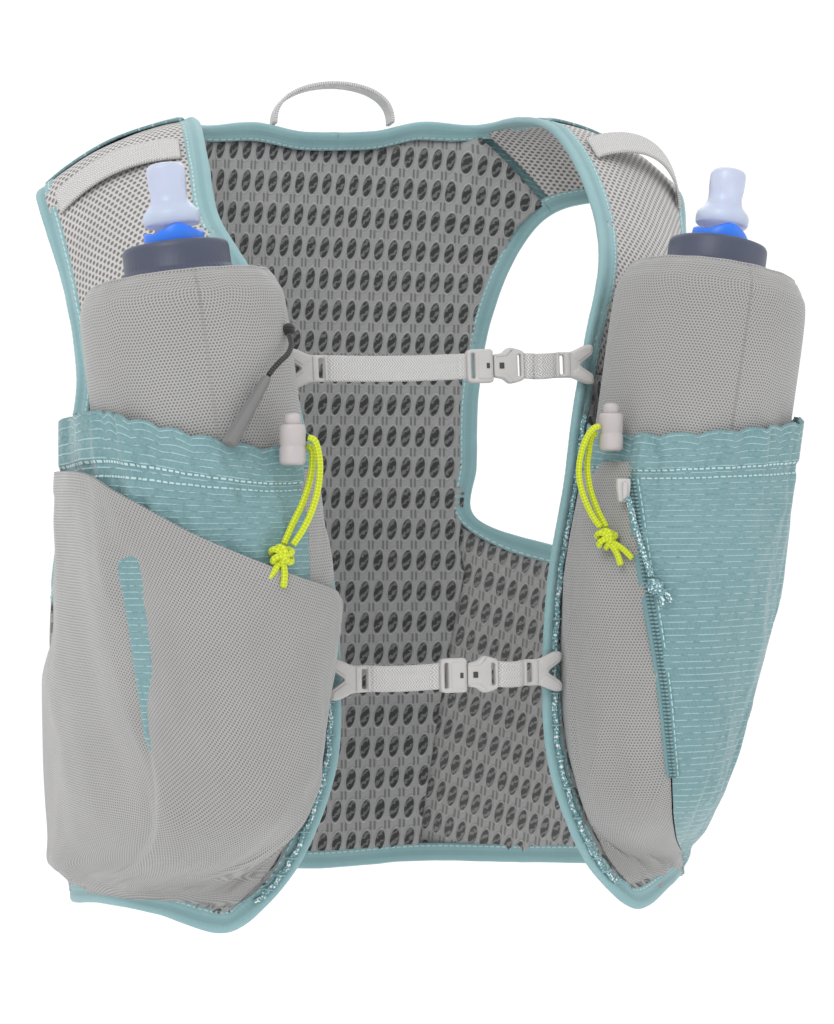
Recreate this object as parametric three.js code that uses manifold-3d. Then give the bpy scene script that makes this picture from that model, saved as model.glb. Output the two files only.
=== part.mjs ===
// Running hydration vest: cloth panels, bound edges, two soft flasks in front pockets,
// and two chest straps with clips and buckles. Millimetres; +X is the viewer's right,
// +Y is away from the viewer, +Z is up. The origin lies midway between the shoulders.
import * as THREE from "three";
import { mergeVertices } from "three/addons/utils/BufferGeometryUtils.js";
import Module from "manifold-3d";

const wasm = await Module();
wasm.setup();

// Garment
const HALF_WIDTH = 142; // centre line to side seam
const HALF_DEPTH = 95; // centre plane to back wall, or to front edge
const LENGTH = 340; // shoulder seat to hem
const SKEW = 0.06; // rise of the right shoulder for each millimetre from the centre line
const NECK_HALF = 66; // centre line to the shoulder seam, at the neckline
const SEAM_OUTER = 105; // centre line to the shoulder seam, at the armhole

// Cloth
const SPACER_WALL = 2.6;
const STRAP_WALL = 2;
const SHELL_WALL = 1.2;
const RIPSTOP_WALL = 1.1;
const STRETCH_WALL = 1.2;
const SLEEVE_WALL = 1;
const GAP = 0.4; // between pieces that touch
const BINDING_WIDTH = 9;
const BINDING_THICKNESS = 3.4;
const BINDING_EASE = 1; // from the tape's inner edge to the cloth it binds
const ROOT_INSET = 2.4; // from the tape to the root of a pocket front
const SIDE_INSET = 3.6; // the same, at the armhole's tape

// Flask
const FLASK_RADIUS = 36;
const FLASK_LENGTH = LENGTH * 0.494; // cap centre to flask base, which the pocket holds
const FLASK_WALL = 1.5;
const NECK_RADIUS = 19;
const CAP_RADIUS = 22.2;
const CAP_HEIGHT = 14;
const COLLAR_RADIUS = 11;
const COLLAR_HEIGHT = 6.5;
const VALVE_TOP_RADIUS = 7.1;
const VALVE_HEIGHT = 30;
const SLEEVE_RADIUS = 38.6;
const SLEEVE_RIM = 32.5;
const SLEEVE_LENGTH = FLASK_LENGTH * 0.762;
const FLASK_X = 110;
const FLASK_Y = -113.4;
const FLASK_Z = -LENGTH * 0.2265;
const FLASK_LEAN = { l: 7.5, r: 9 }; // degrees, outwards at the top

// Pocket
const CHANNEL_HEIGHT = 19; // gathered hem of the bottle pocket
const GATHER_DEPTH = 2.2;
const GATHER_WAVES = 7;
const ZIP_WIDTH = 7;
const ZIP_THICKNESS = 1.4;

// Webbing and fittings
const WEB_WIDTH = 10.2;
const WEB_THICKNESS = 1.5;
const CLIP_LENGTH = 16.5;
const CLIP_HEIGHT = 16;
const CLIP_THICKNESS = 3.2;
const FRAME_LENGTH = 11;
const FRAME_HEIGHT = 13.5;
const FRAME_THICKNESS = 4.6;
const PLUG_LENGTH = 13;
const PLUG_HEIGHT = 15;
const PLUG_THICKNESS = 3.6;
const LOOP_WIDTH = 10;
const LOOP_THICKNESS = 1.6;
const BAND_THICKNESS = 1.2;

// Cords
const DRAW_CORD = 2.4;
const ZIP_CORD = 2.2;
const PULL_CORD = 2;
const EDGE_CORD = 2.4;
const LOCK_RADIUS = 4.7;
const LOCK_HEIGHT = 14.5;
const BUTTON_RADIUS = 3;
const BUTTON_RISE = 4;
const BUTTON_SEAT = 8.5; // height of the button's foot in the barrel

// Each column of a table becomes a smooth function of the place 0 to 1 down its rows.
function table(names, rows) {
  const columns = {};
  names.forEach((name, column) => {
    const values = rows.map((row) => row[column]);
    columns[name] = (place) => spline(values, place);
  });
  return columns;
}

function spline(values, place) {
  const last = values.length - 1;
  const at = THREE.MathUtils.clamp(place, 0, 1) * last;
  const i = Math.min(Math.floor(at), last - 1);
  const t = at - i;
  const b = values[i];
  const c = values[i + 1];
  const a = i > 0 ? values[i - 1] : 2 * b - c;
  const d = i + 2 <= last ? values[i + 2] : 2 * c - b;
  const bend = (3 * (b - c) + d - a) * t + 2 * a - 5 * b + 4 * c - d;
  return b + 0.5 * t * (c - a + t * bend);
}

// Front strip, from the shoulder seam over the shoulder to the hem: its inner edge runs
// along neck and front opening, its outer edge along armhole and side seam.
// x is a share of HALF_WIDTH, y and crown of HALF_DEPTH, z of LENGTH.
const STRIP = table(
  ["in_x", "in_y", "in_z", "out_x", "out_y", "out_z", "crown"],
  [
    [NECK_HALF / HALF_WIDTH, 0.705, 0.035, SEAM_OUTER / HALF_WIDTH, 0.63, -0.094, 0.03],
    [0.542, 0.36, 0.024, 0.958, 0.44, -0.082, 0.06],
    [0.563, 0.02, -0.006, 1.05, 0.13, -0.091, 0.08],
    [0.577, -0.27, -0.065, 1.028, -0.02, -0.147, 0.095],
    [0.577, -0.53, -0.147, 0.986, -0.13, -0.22, 0.115],
    [0.52, -0.8, -0.224, 0.965, -0.23, -0.288, 0.1],
    [0.45, -0.916, -0.309, 0.961, -0.274, -0.347, 0.055],
    [0.394, -0.968, -0.412, 0.982, -0.17, -0.426, 0.045],
    [0.366, -0.99, -0.485, 0.996, -0.074, -0.506, 0.045],
    [0.317, -1, -0.588, 1.003, 0, -0.588, 0.06],
    [0.296, -1, -0.706, 1.007, 0, -0.706, 0.12],
    [0.31, -1, -0.809, 1, 0, -0.809, 0.2],
    [0.394, -0.98, -0.906, 0.979, 0, -0.906, 0.21],
    [0.479, -0.958, -0.956, 0.961, 0, -0.956, 0.19],
    [0.599, -0.926, -0.994, 0.944, 0, -0.997, 0.15],
  ],
);
const STRIP_LAST = 14;
const stripRow = (row) => row / STRIP_LAST;
const STRAP_END = stripRow(6.4);
const MOUTH_ROW = stripRow(7);
const UNDERARM_ROW = stripRow(9);
const SIDE_EASE = [stripRow(9.35), stripRow(10.1)]; // where the armhole tape gives way to the seam
const HEM_ROW = stripRow(13.15); // where the hem tape begins

// Back panel below the shoulders, from the hem up.
const BACK = table(
  ["z", "half", "depth"],
  [
    [-1.018, 0.303, 0.98],
    [-0.81, 0.38, 0.99],
    [-0.69, 0.43, 1],
    [-0.576, 0.479, 1],
    [-0.474, 0.507, 1],
    [-0.347, 0.514, 0.99],
    [-0.235, 0.556, 0.98],
    [-0.141, 0.641, 0.96],
  ],
);
const BACK_SHARE = 0.82; // of the panel's rows, below the curved top
const NECK = table(
  ["z", "y"],
  [
    [0.03, 0.79],
    [0.033, 0.79],
    [0.044, 0.76],
    [0.035, 0.705],
  ],
);

// Top edge of the side panel, from the side seam to the back seam.
const UNDERARM = table(["z"], [[-0.588], [-0.597], [-0.582], [-0.555], [-0.518]]);
const BACK_HEM_DROP = 0.021;

// The pocket's round, from its mouth to the hem: shift of its centre from the flask's
// axis, outwards and back, and its radius, all as shares of the flask's radius.
const POCKET = table(
  ["out", "back", "radius"],
  [
    [0, 0, 1.17],
    [0, 0, 1.185],
    [0, 0, 1.19],
    [0.1, 0.1, 1.07],
    [0.16, 0.2, 0.9],
    [0.36, 0.42, 0.66],
    [0.64, 0.62, 0.43],
    [0.74, 0.85, 0.38],
  ],
);
const POCKET_ANGLES = [179, 212, 248, 285, 322, 352];
const FLANK_SWELL = 0.055; // of HALF_WIDTH
const TUCK = [stripRow(11.3), HEM_ROW]; // where the pocket front draws in to the hem tape

const vec = (x, y, z) => new THREE.Vector3(x, y, z);
const mix = (a, b, t) => a + (b - a) * t;
const sideSign = (side) => (side === "l" ? -1 : 1);
const radians = THREE.MathUtils.degToRad;

// The garment hangs a little askew, so its right shoulder is higher.
const hang = (x, y, z) => vec(x, y, z + SKEW * x * (1 + z / LENGTH));

function smoothstep(a, b, x) {
  const t = THREE.MathUtils.clamp((x - a) / (b - a), 0, 1);
  return t * t * (3 - 2 * t);
}

// Outward direction of the body that the garment is shaped to.
function outward(p) {
  const rise = Math.max(0, p.z / LENGTH + 0.38) * 0.032;
  const lean = p.y > 0 ? 1 - (0.62 * p.y) / HALF_DEPTH : 1;
  return vec(p.x / HALF_WIDTH ** 2, p.y / HALF_DEPTH ** 2, rise * lean).normalize();
}

// Point of the right-hand front strip, u across from the inner edge and v down its rows.
function stripFlat(u, v) {
  return vec(
    mix(STRIP.in_x(v), STRIP.out_x(v), u) * HALF_WIDTH,
    mix(STRIP.in_y(v), STRIP.out_y(v), u) * HALF_DEPTH,
    mix(STRIP.in_z(v), STRIP.out_z(v), u) * LENGTH,
  );
}

function strip(u, v) {
  const step = 0.01;
  const across = stripFlat(1, v).sub(stripFlat(0, v));
  const down = stripFlat(0.5, Math.min(1, v + step)).sub(stripFlat(0.5, Math.max(0, v - step)));
  const rise = down.cross(across).normalize();
  return stripFlat(u, v).addScaledVector(rise, STRIP.crown(v) * HALF_DEPTH * 4 * u * (1 - u));
}

const stripWidth = (v) => stripFlat(1, v).distanceTo(stripFlat(0, v));
const bindingShare = (v) => (BINDING_WIDTH + BINDING_EASE) / stripWidth(v);
const NECK_SHARE = NECK_HALF / SEAM_OUTER;

const backDepth = (x, share) => HALF_DEPTH * share * Math.sqrt(1 - (x / HALF_WIDTH) ** 2);

// Point of the back wall, u from -1 to 1 across and v from the hem to the neckline.
function back(u, v) {
  const rows = Math.min(1, v / BACK_SHARE);
  const x = u * BACK.half(rows) * HALF_WIDTH;
  const low = vec(x, backDepth(x, BACK.depth(rows)), BACK.z(rows) * LENGTH);
  low.z += BACK_HEM_DROP * LENGTH * (1 - rows) * u * u * 0.3;
  if (v <= BACK_SHARE) return low;
  return low.lerp(backTop(u), (v - BACK_SHARE) / (1 - BACK_SHARE));
}

function backTop(u) {
  const from = Math.abs(u);
  if (from <= NECK_SHARE) {
    const share = from / NECK_SHARE;
    return vec(u * SEAM_OUTER, NECK.y(share) * HALF_DEPTH, NECK.z(share) * LENGTH);
  }
  const seam = strip((from - NECK_SHARE) / (1 - NECK_SHARE), 0);
  seam.x *= Math.sign(u);
  return seam;
}

// Point of the right-hand side panel, u from the side seam to the back seam, v down.
function sidePanel(u, v) {
  const row = mix(UNDERARM_ROW, 1, v);
  const top = UNDERARM.z(u) * LENGTH;
  const hem = mix(STRIP.out_z(1), BACK.z(0), u) * LENGTH;
  const z = mix(top, hem, v);
  const half = STRIP.out_x(row) * HALF_WIDTH;
  const seamX = BACK.half(backRowAt(z)) * HALF_WIDTH;
  const angle = u * Math.acos(seamX / half);
  return vec(half * Math.cos(angle), HALF_DEPTH * Math.sin(angle), z);
}

// Row of the back panel at a height, by halving.
function backRowAt(z) {
  let low = 0;
  let high = 1;
  for (let i = 0; i < 24; i++) {
    const middle = (low + high) / 2;
    if (BACK.z(middle) * LENGTH < z) low = middle;
    else high = middle;
  }
  return (low + high) / 2;
}

// Point of the right-hand pocket front, u from the front edge round to the side seam,
// v down the strip's rows, lifted outwards by a distance.
function pocket(side, u, v, lift) {
  const place = (v - MOUTH_ROW) / (1 - MOUTH_ROW);
  const inner = bindingShare(v) + ROOT_INSET / stripWidth(v);
  const outer = bindingShare(v) + SIDE_INSET / stripWidth(v);
  const hidden = mix(outer, (GAP + RIPSTOP_WALL) / stripWidth(v), smoothstep(...SIDE_EASE, v));
  const edge = strip(inner, v);
  const seam = strip(1 - hidden, v);
  const corner = smoothstep(stripRow(10.5), stripRow(12), v);
  const root = SPACER_WALL / 2 + GAP + RIPSTOP_WALL / 2 + mix(0.36, 1.6, corner);
  edge.addScaledVector(outward(edge), root);
  seam.addScaledVector(outward(seam), root);
  const radius = POCKET.radius(place) * FLASK_RADIUS;
  const axis = FLASK_X + (STRIP.in_z(v) * LENGTH - FLASK_Z) * Math.tan(radians(FLASK_LEAN[side]));
  const centreX = axis + POCKET.out(place) * FLASK_RADIUS;
  const centreY = FLASK_Y + POCKET.back(place) * FLASK_RADIUS;
  const ring = POCKET_ANGLES.map((angle) =>
    vec(
      centreX + radius * Math.cos(radians(angle)),
      centreY + radius * Math.sin(radians(angle)),
      mix(edge.z, seam.z, 0.5),
    ),
  );
  const flank = ring[ring.length - 1].clone().lerp(seam, 0.5);
  flank.x += FLANK_SWELL * HALF_WIDTH;
  const posts = [edge, ...ring, flank, seam];
  const tucked = smoothstep(...TUCK, v);
  posts.forEach((post, k) => {
    const wall = strip(mix(inner, 1 - hidden, k / (posts.length - 1)), v);
    post.lerp(wall.addScaledVector(outward(wall), root), tucked);
  });
  const x = spline(posts.map((post) => post.x), u);
  const y = spline(posts.map((post) => post.y), u);
  const step = 0.02;
  const a = Math.max(0, u - step);
  const b = Math.min(1, u + step);
  const dx = spline(posts.map((post) => post.x), b) - spline(posts.map((post) => post.x), a);
  const dy = spline(posts.map((post) => post.y), b) - spline(posts.map((post) => post.y), a);
  const size = Math.hypot(dx, dy);
  return vec(x + (lift * dy) / size, y - (lift * dx) / size, mix(edge.z, seam.z, u));
}

// A wall of even thickness over a grid of points. Cells can be left out, and either
// direction of the grid can close on itself.
function sheet(point, nu, nv, thickness, options = {}) {
  const { keep = () => true, loopU = false, loopV = false, lift = 0 } = options;
  const columns = loopU ? nu : nu + 1;
  const rows = loopV ? nv : nv + 1;
  const middle = [];
  for (let j = 0; j < rows; j++) {
    for (let i = 0; i < columns; i++) middle.push(point(i / nu, j / nv));
  }
  const at = (i, j) => {
    const column = loopU ? (i + columns) % columns : THREE.MathUtils.clamp(i, 0, columns - 1);
    const row = loopV ? (j + rows) % rows : THREE.MathUtils.clamp(j, 0, rows - 1);
    return row * columns + column;
  };
  const positions = [];
  for (const face of [0.5, -0.5]) {
    for (let j = 0; j < rows; j++) {
      for (let i = 0; i < columns; i++) {
        const across = middle[at(i + 1, j)].clone().sub(middle[at(i - 1, j)]);
        const along = middle[at(i, j + 1)].clone().sub(middle[at(i, j - 1)]);
        const normal = across.cross(along).normalize();
        const p = middle[at(i, j)].clone().addScaledVector(normal, lift + thickness * face);
        positions.push(p.x, p.y, p.z);
      }
    }
  }
  const other = rows * columns;
  const index = [];
  const quad = (a, b, c, d) => index.push(a, b, c, a, c, d);
  const kept = (i, j) => {
    const column = loopU ? (i + nu) % nu : i;
    const row = loopV ? (j + nv) % nv : j;
    return column >= 0 && column < nu && row >= 0 && row < nv && keep(column, row);
  };
  for (let j = 0; j < nv; j++) {
    for (let i = 0; i < nu; i++) {
      if (!kept(i, j)) continue;
      const a = at(i, j);
      const b = at(i + 1, j);
      const c = at(i + 1, j + 1);
      const d = at(i, j + 1);
      quad(a, b, c, d);
      quad(other + d, other + c, other + b, other + a);
      if (!kept(i, j - 1)) quad(b, a, other + a, other + b);
      if (!kept(i + 1, j)) quad(c, b, other + b, other + c);
      if (!kept(i, j + 1)) quad(d, c, other + c, other + d);
      if (!kept(i - 1, j)) quad(a, d, other + d, other + a);
    }
  }
  return faceOut(bare(positions, index));
}

function bare(positions, index) {
  const geometry = new THREE.BufferGeometry();
  geometry.setAttribute("position", new THREE.Float32BufferAttribute(positions, 3));
  geometry.setIndex(index);
  return geometry;
}

// Turns the faces round where they point inwards.
function faceOut(geometry) {
  const p = geometry.attributes.position;
  const index = Array.from(geometry.index.array);
  const corner = (k) => vec(p.getX(index[k]), p.getY(index[k]), p.getZ(index[k]));
  let volume = 0;
  for (let k = 0; k < index.length; k += 3) {
    volume += corner(k).dot(corner(k + 1).cross(corner(k + 2)));
  }
  if (volume < 0) index.reverse();
  geometry.setIndex(index);
  return geometry;
}

// Merges a geometry's shared corners, so that it is one closed surface.
function closed(geometry) {
  geometry.deleteAttribute("normal");
  geometry.deleteAttribute("uv");
  const merged = mergeVertices(geometry, 1e-3);
  const old = Array.from(merged.index.array);
  const index = [];
  for (let k = 0; k < old.length; k += 3) {
    const [a, b, c] = old.slice(k, k + 3);
    if (a !== b && b !== c && a !== c) index.push(a, b, c);
  }
  merged.setIndex(index);
  return faceOut(merged);
}

// A turned solid about Z, from [radius, height] rows.
function turned(rows, sides) {
  const profile = rows.map(([radius, height]) => new THREE.Vector2(radius, height));
  const geometry = new THREE.LatheGeometry(profile, sides);
  geometry.rotateX(Math.PI / 2);
  return closed(geometry);
}

const solidOf = (geometry) =>
  new wasm.Manifold(
    new wasm.Mesh({
      numProp: 3,
      vertProperties: new Float32Array(geometry.attributes.position.array),
      triVerts: new Uint32Array(geometry.index.array),
    }),
  );

function geometryOf(solid) {
  const mesh = solid.getMesh();
  return bare(Array.from(mesh.vertProperties), Array.from(mesh.triVerts));
}

const join = (...bodies) =>
  geometryOf(bodies.slice(1).reduce((sum, next) => sum.add(solidOf(next)), solidOf(bodies[0])));

// A round cord along hand-chosen points.
function tube(points, diameter, steps, sides = 8) {
  const curve = new THREE.CatmullRomCurve3(points.map(([x, y, z]) => vec(x, y, z)));
  const ring = [];
  for (let k = 0; k < sides; k++) {
    const angle = (2 * Math.PI * k) / sides;
    ring.push(new THREE.Vector2(Math.cos(angle), Math.sin(angle)).multiplyScalar(diameter / 2));
  }
  const options = { steps, bevelEnabled: false, extrudePath: curve };
  return closed(new THREE.ExtrudeGeometry(new THREE.Shape(ring), options));
}

// A closed rim of posts: each has a point on the cloth's edge and one a tape's width in.
function rimOf(posts) {
  return {
    edge: new THREE.CatmullRomCurve3(posts.map(([p]) => p), true),
    inner: new THREE.CatmullRomCurve3(posts.map(([, q]) => q), true),
    count: posts.length,
  };
}

// A rim's point, its direction across the tape, and the way the tape's face looks.
function rimFrame(rim, v) {
  const p = rim.edge.getPoint(v);
  const across = rim.inner.getPoint(v).sub(p).normalize();
  const face = rim.edge.getTangent(v).cross(across).normalize();
  if (face.dot(outward(p)) < 0) face.negate();
  return { p, across, face };
}

// A flat tape round a rim: it starts on the edge and reaches in by its width.
function tape(rim, steps) {
  const point = (u, v) => {
    const { p, across } = rimFrame(rim, v);
    return p.addScaledVector(across, BINDING_WIDTH * u);
  };
  return sheet(point, 1, steps, BINDING_THICKNESS, { loopV: true });
}

// A plate from an outline in X and Z, with holes, centred on its thickness.
function plate(outline, thickness, holes = []) {
  const shape = new THREE.Shape(outline.map(([x, z]) => new THREE.Vector2(x, z)));
  for (const hole of holes) {
    shape.holes.push(new THREE.Path(hole.map(([x, z]) => new THREE.Vector2(x, z))));
  }
  const geometry = new THREE.ExtrudeGeometry(shape, { depth: thickness, bevelEnabled: false });
  geometry.translate(0, 0, -thickness / 2);
  geometry.rotateX(Math.PI / 2);
  return closed(geometry);
}

const vest = new THREE.Group();

const FINISH = {
  mesh: [0x848484, 0.85, 0],
  net: [0xcfcbc8, 0.8, 0],
  stretch: [0xb4b2b1, 0.85, 0],
  ripstop: [0x7fb5b5, 0.6, 0],
  tape: [0xa0d0d0, 0.7, 0],
  web: [0xc9c8c7, 0.75, 0],
  plastic: [0xb0aeac, 0.45, 0],
  cord: [0xcddb19, 0.6, 0],
  fleck: [0x8fc4c6, 0.7, 0],
  cap: [0x3e4458, 0.4, 0],
  collar: [0x1e6edc, 0.35, 0],
  valve: [0xc5d0e6, 0.3, 0],
  flask: [0xdfe6ee, 0.3, 0],
  grip: [0x6b6b6b, 0.6, 0],
  black: [0x1c1c1c, 0.6, 0],
};

function add(name, geometry, finish, parent = vest) {
  const [color, roughness, metalness] = FINISH[finish];
  const material = new THREE.MeshStandardMaterial({ color, roughness, metalness });
  const mesh = new THREE.Mesh(geometry, material);
  mesh.name = name;
  parent.add(mesh);
  return mesh;
}

// The garment's point for a point of its right-hand half.
const onSide = (side, p) => hang(sideSign(side) * p.x, p.y, p.z);

// Back wall and its outer cover with the two shoulder yokes

const SHELL_LIFT = SPACER_WALL / 2 + GAP + SHELL_WALL / 2 + 0.9;
const YOKE_END = stripRow(1.7);
const NECK_COLUMNS = 6;
const SEAM_COLUMNS = 3; // on each side of the neck
const BACK_COLUMNS = NECK_COLUMNS + 2 * SEAM_COLUMNS;
const BACK_ROWS = 10;
const YOKE_ROWS = 3;
const YOKE_EASE = 1.3;
const SLANT_EASE = 0.42; // more inset where the armhole's edge slants

// Place across the back, -1 to 1, of a share of its columns.
function backAcross(u) {
  const column = (u - 0.5) * BACK_COLUMNS;
  const half = NECK_COLUMNS / 2;
  const past = Math.max(0, Math.abs(column) - half) / SEAM_COLUMNS;
  const within = Math.min(Math.abs(column), half) / half;
  return Math.sign(column) * (within * NECK_SHARE + past * (1 - NECK_SHARE));
}

const ARMHOLE_FOOT = backRowAt(UNDERARM.z(1) * LENGTH) * BACK_SHARE;

const backHalf = (v) => BACK.half(Math.min(1, v / BACK_SHARE)) * HALF_WIDTH;
const backEdge = (v) => 1 - BINDING_WIDTH / backHalf(v);

function backInset(across, v) {
  const half = backHalf(v);
  const bound = smoothstep(ARMHOLE_FOOT - 0.1, ARMHOLE_FOOT - 0.045, v);
  const slant = 1 + SLANT_EASE * smoothstep(BACK_SHARE * 0.75, BACK_SHARE, v);
  const inset = mix(GAP / 2, (BINDING_WIDTH + 2 * BINDING_EASE) * slant, bound);
  return across * (1 - inset / half);
}

// Top edge of the back cloth: below the neck tape, and at the shoulder seams.
function backClothTop(across) {
  const from = Math.abs(across);
  if (from < NECK_SHARE) {
    const p = backTop(across);
    p.z -= BINDING_WIDTH + BINDING_EASE;
    p.y = backDepth(p.x, BACK.depth(1)) - 0.5 * (backDepth(p.x, BACK.depth(1)) - p.y);
    return p;
  }
  const edge = bindingShare(0) * yokeEase(0);
  const share = (from - NECK_SHARE) / (1 - NECK_SHARE);
  const p = strip(mix(edge, 1 - edge, share), 0);
  p.x *= Math.sign(across);
  return p;
}

const FOOT_ROW = (BACK.z(1 / 7) - BACK.z(0)) * LENGTH; // height of the lowest table row
const HEM_INSET = ((BINDING_WIDTH + BINDING_EASE) / FOOT_ROW / 7) * BACK_SHARE;

function backCloth(u, v) {
  const across = backAcross(u);
  const row = mix(HEM_INSET, 1, v);
  if (row <= BACK_SHARE) return back(backInset(across, row), row);
  const low = back(backInset(across, BACK_SHARE), BACK_SHARE);
  return low.lerp(backClothTop(across), (row - BACK_SHARE) / (1 - BACK_SHARE));
}

// More inset beside the shoulder seam, where the tape turns.
const yokeEase = (row) => 1 + 0.3 * (1 - smoothstep(0, stripRow(2), row));

const PANEL_TOP = 0.993; // the spacer cloth stops just short of the shoulder seams

function backPanel(u, v) {
  const p = backCloth(u, v * PANEL_TOP);
  return hang(p.x, p.y, p.z);
}

function shellPoint(u, v) {
  const row = v * (BACK_ROWS + YOKE_ROWS);
  if (row <= BACK_ROWS) {
    const p = backCloth(u, row < BACK_ROWS ? (row / BACK_ROWS) * PANEL_TOP : 1);
    return hang(p.x, p.y, p.z);
  }
  const down = ((row - BACK_ROWS) / YOKE_ROWS) * YOKE_END;
  const across = backAcross(u);
  if (Math.abs(across) < NECK_SHARE * 0.99) {
    const p = backCloth(u, 1);
    return hang(p.x, p.y, p.z + (row - BACK_ROWS) * BINDING_WIDTH);
  }
  const edge = bindingShare(down) * yokeEase(down);
  const share = Math.max(0, (Math.abs(across) - NECK_SHARE) / (1 - NECK_SHARE));
  const p = strip(mix(edge, 1 - edge, share), down);
  p.addScaledVector(outward(p), YOKE_EASE);
  return onSide(across < 0 ? "l" : "r", p);
}

add("back_panel", sheet(backPanel, BACK_COLUMNS, BACK_ROWS, SPACER_WALL), "mesh");
add(
  "back_shell",
  sheet(shellPoint, BACK_COLUMNS, BACK_ROWS + YOKE_ROWS, SHELL_WALL, {
    keep: (i, j) => j < BACK_ROWS || i < SEAM_COLUMNS || i >= BACK_COLUMNS - SEAM_COLUMNS,
    lift: -SHELL_LIFT,
  }),
  "ripstop",
);

const SIDE_HEIGHT = LENGTH * 0.42; // of the side panel

for (const side of ["l", "r"]) {
  const sidePoint = (u, v) => {
    const topInset = (BINDING_WIDTH + 3 * BINDING_EASE) / SIDE_HEIGHT;
    const hemEdge = (BINDING_WIDTH + 2 * BINDING_EASE) / SIDE_HEIGHT;
    const seam = (1.8 * GAP) / HALF_WIDTH;
    const p = sidePanel(mix(seam, 1 - seam, u), mix(topInset, 1 - hemEdge, v));
    return onSide(side, p);
  };
  add(`side_panel_${side}`, sheet(sidePoint, 7, 5, SPACER_WALL), "mesh");

  const strapPoint = (u, v) => {
    const row = mix(stripRow(0.08), STRAP_END, v);
    const edge = bindingShare(row) * yokeEase(row);
    return onSide(side, strip(mix(edge, 1 - edge, u), row));
  };
  add(`strap_mesh_${side}`, sheet(strapPoint, 6, 11, STRAP_WALL), "net");

  const frontPoint = (u, v) => {
    const row = mix(STRAP_END + 0.005, HEM_ROW, v);
    const edge = bindingShare(row);
    const seam = mix(edge, GAP / stripWidth(row), smoothstep(...SIDE_EASE, row));
    return onSide(side, strip(mix(edge, 1 - seam, u), row));
  };
  add(`front_panel_${side}`, sheet(frontPoint, 8, 9, SPACER_WALL), "mesh");
}

// Flasks with sleeve, cap, collar and valve

function flask(side) {
  const place = hang(sideSign(side) * FLASK_X, FLASK_Y, FLASK_Z);
  const group = new THREE.Group();
  group.position.copy(place);
  group.rotation.y = sideSign(side) * radians(FLASK_LEAN[side]);
  vest.add(group);

  const capFoot = -CAP_HEIGHT * 0.57;
  const capTop = CAP_HEIGHT * 0.43;
  const capWall = CAP_RADIUS - NECK_RADIUS - GAP;
  const crown = capTop - capWall;
  const bodyRows = [
    [NECK_RADIUS, crown - GAP],
    [NECK_RADIUS, capFoot - GAP],
    [FLASK_RADIUS * 0.8, capFoot - 3],
    [FLASK_RADIUS * 0.95, capFoot - 9],
    [FLASK_RADIUS, capFoot - 19],
    [FLASK_RADIUS, -FLASK_LENGTH * 0.86],
    [FLASK_RADIUS * 0.9, -FLASK_LENGTH * 0.95],
    [FLASK_RADIUS * 0.55, -FLASK_LENGTH * 0.992],
    [0, -FLASK_LENGTH],
  ];
  const inner = bodyRows
    .slice(0, -1)
    .reverse()
    .map(([radius, height], k) => [radius - FLASK_WALL, height + (k < 2 ? FLASK_WALL : 0)]);
  const bottom = [0, -FLASK_LENGTH + FLASK_WALL];
  add(`flask_body_${side}`, turned([...bodyRows, bottom, ...inner, bodyRows[0]], 12), "flask", group);

  const capRows = [
    [NECK_RADIUS + GAP, capFoot],
    [CAP_RADIUS, capFoot],
    [CAP_RADIUS, capFoot + CAP_HEIGHT * 0.2],
    [CAP_RADIUS * 0.93, capFoot + CAP_HEIGHT * 0.26],
    [CAP_RADIUS * 0.9, capTop - CAP_HEIGHT * 0.1],
    [CAP_RADIUS * 0.86, capTop],
    [0, capTop],
    [0, crown],
    [NECK_RADIUS + GAP, crown],
    [NECK_RADIUS + GAP, capFoot],
  ];
  add(`flask_cap_${side}`, turned(capRows, 12), "cap", group);

  const collarFoot = capTop + GAP;
  const collarTop = collarFoot + COLLAR_HEIGHT;
  const bore = VALVE_TOP_RADIUS * 1.02;
  const collarRows = [
    [bore, collarFoot],
    [COLLAR_RADIUS * 1.04, collarFoot],
    [COLLAR_RADIUS, collarTop - 1.5],
    [COLLAR_RADIUS * 0.93, collarTop],
    [bore, collarTop],
    [bore, collarFoot],
  ];
  add(`valve_collar_${side}`, turned(collarRows, 12), "collar", group);

  const stem = bore - GAP;
  const top = collarFoot + VALVE_HEIGHT;
  const valveRows = [
    [0, collarFoot],
    [stem, collarFoot],
    [stem, collarTop + GAP],
    [COLLAR_RADIUS * 0.95, collarTop + GAP],
    [COLLAR_RADIUS * 0.98, collarTop + 4],
    [COLLAR_RADIUS * 0.78, collarTop + 7.5],
    [VALVE_TOP_RADIUS * 0.97, collarTop + 13],
    [VALVE_TOP_RADIUS, top - 3],
    [VALVE_TOP_RADIUS * 0.86, top - 0.7],
    [VALVE_TOP_RADIUS * 0.5, top],
    [0, top],
  ];
  add(`bite_valve_${side}`, turned(valveRows, 12), "valve", group);

  const sleeveRows = table(
    ["radius", "z"],
    [
      [SLEEVE_RIM, capFoot + 1],
      [mix(SLEEVE_RIM, SLEEVE_RADIUS, 0.6), capFoot - 4],
      [SLEEVE_RADIUS, capFoot - 16],
      [SLEEVE_RADIUS, mix(capFoot - 16, -SLEEVE_LENGTH, 0.5)],
      [SLEEVE_RADIUS, -SLEEVE_LENGTH],
    ],
  );
  const sleevePoint = (u, v) => {
    const angle = 2 * Math.PI * u;
    const radius = sleeveRows.radius(v) - SLEEVE_WALL / 2;
    return vec(radius * Math.cos(angle), radius * Math.sin(angle), sleeveRows.z(v));
  };
  add(`flask_sleeve_${side}`, sheet(sleevePoint, 16, 5, SLEEVE_WALL, { loopU: true }), "stretch", group);
}
flask("l");
flask("r");

// Bottle pockets: the left one spans the whole front, the right one starts at the zip

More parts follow.
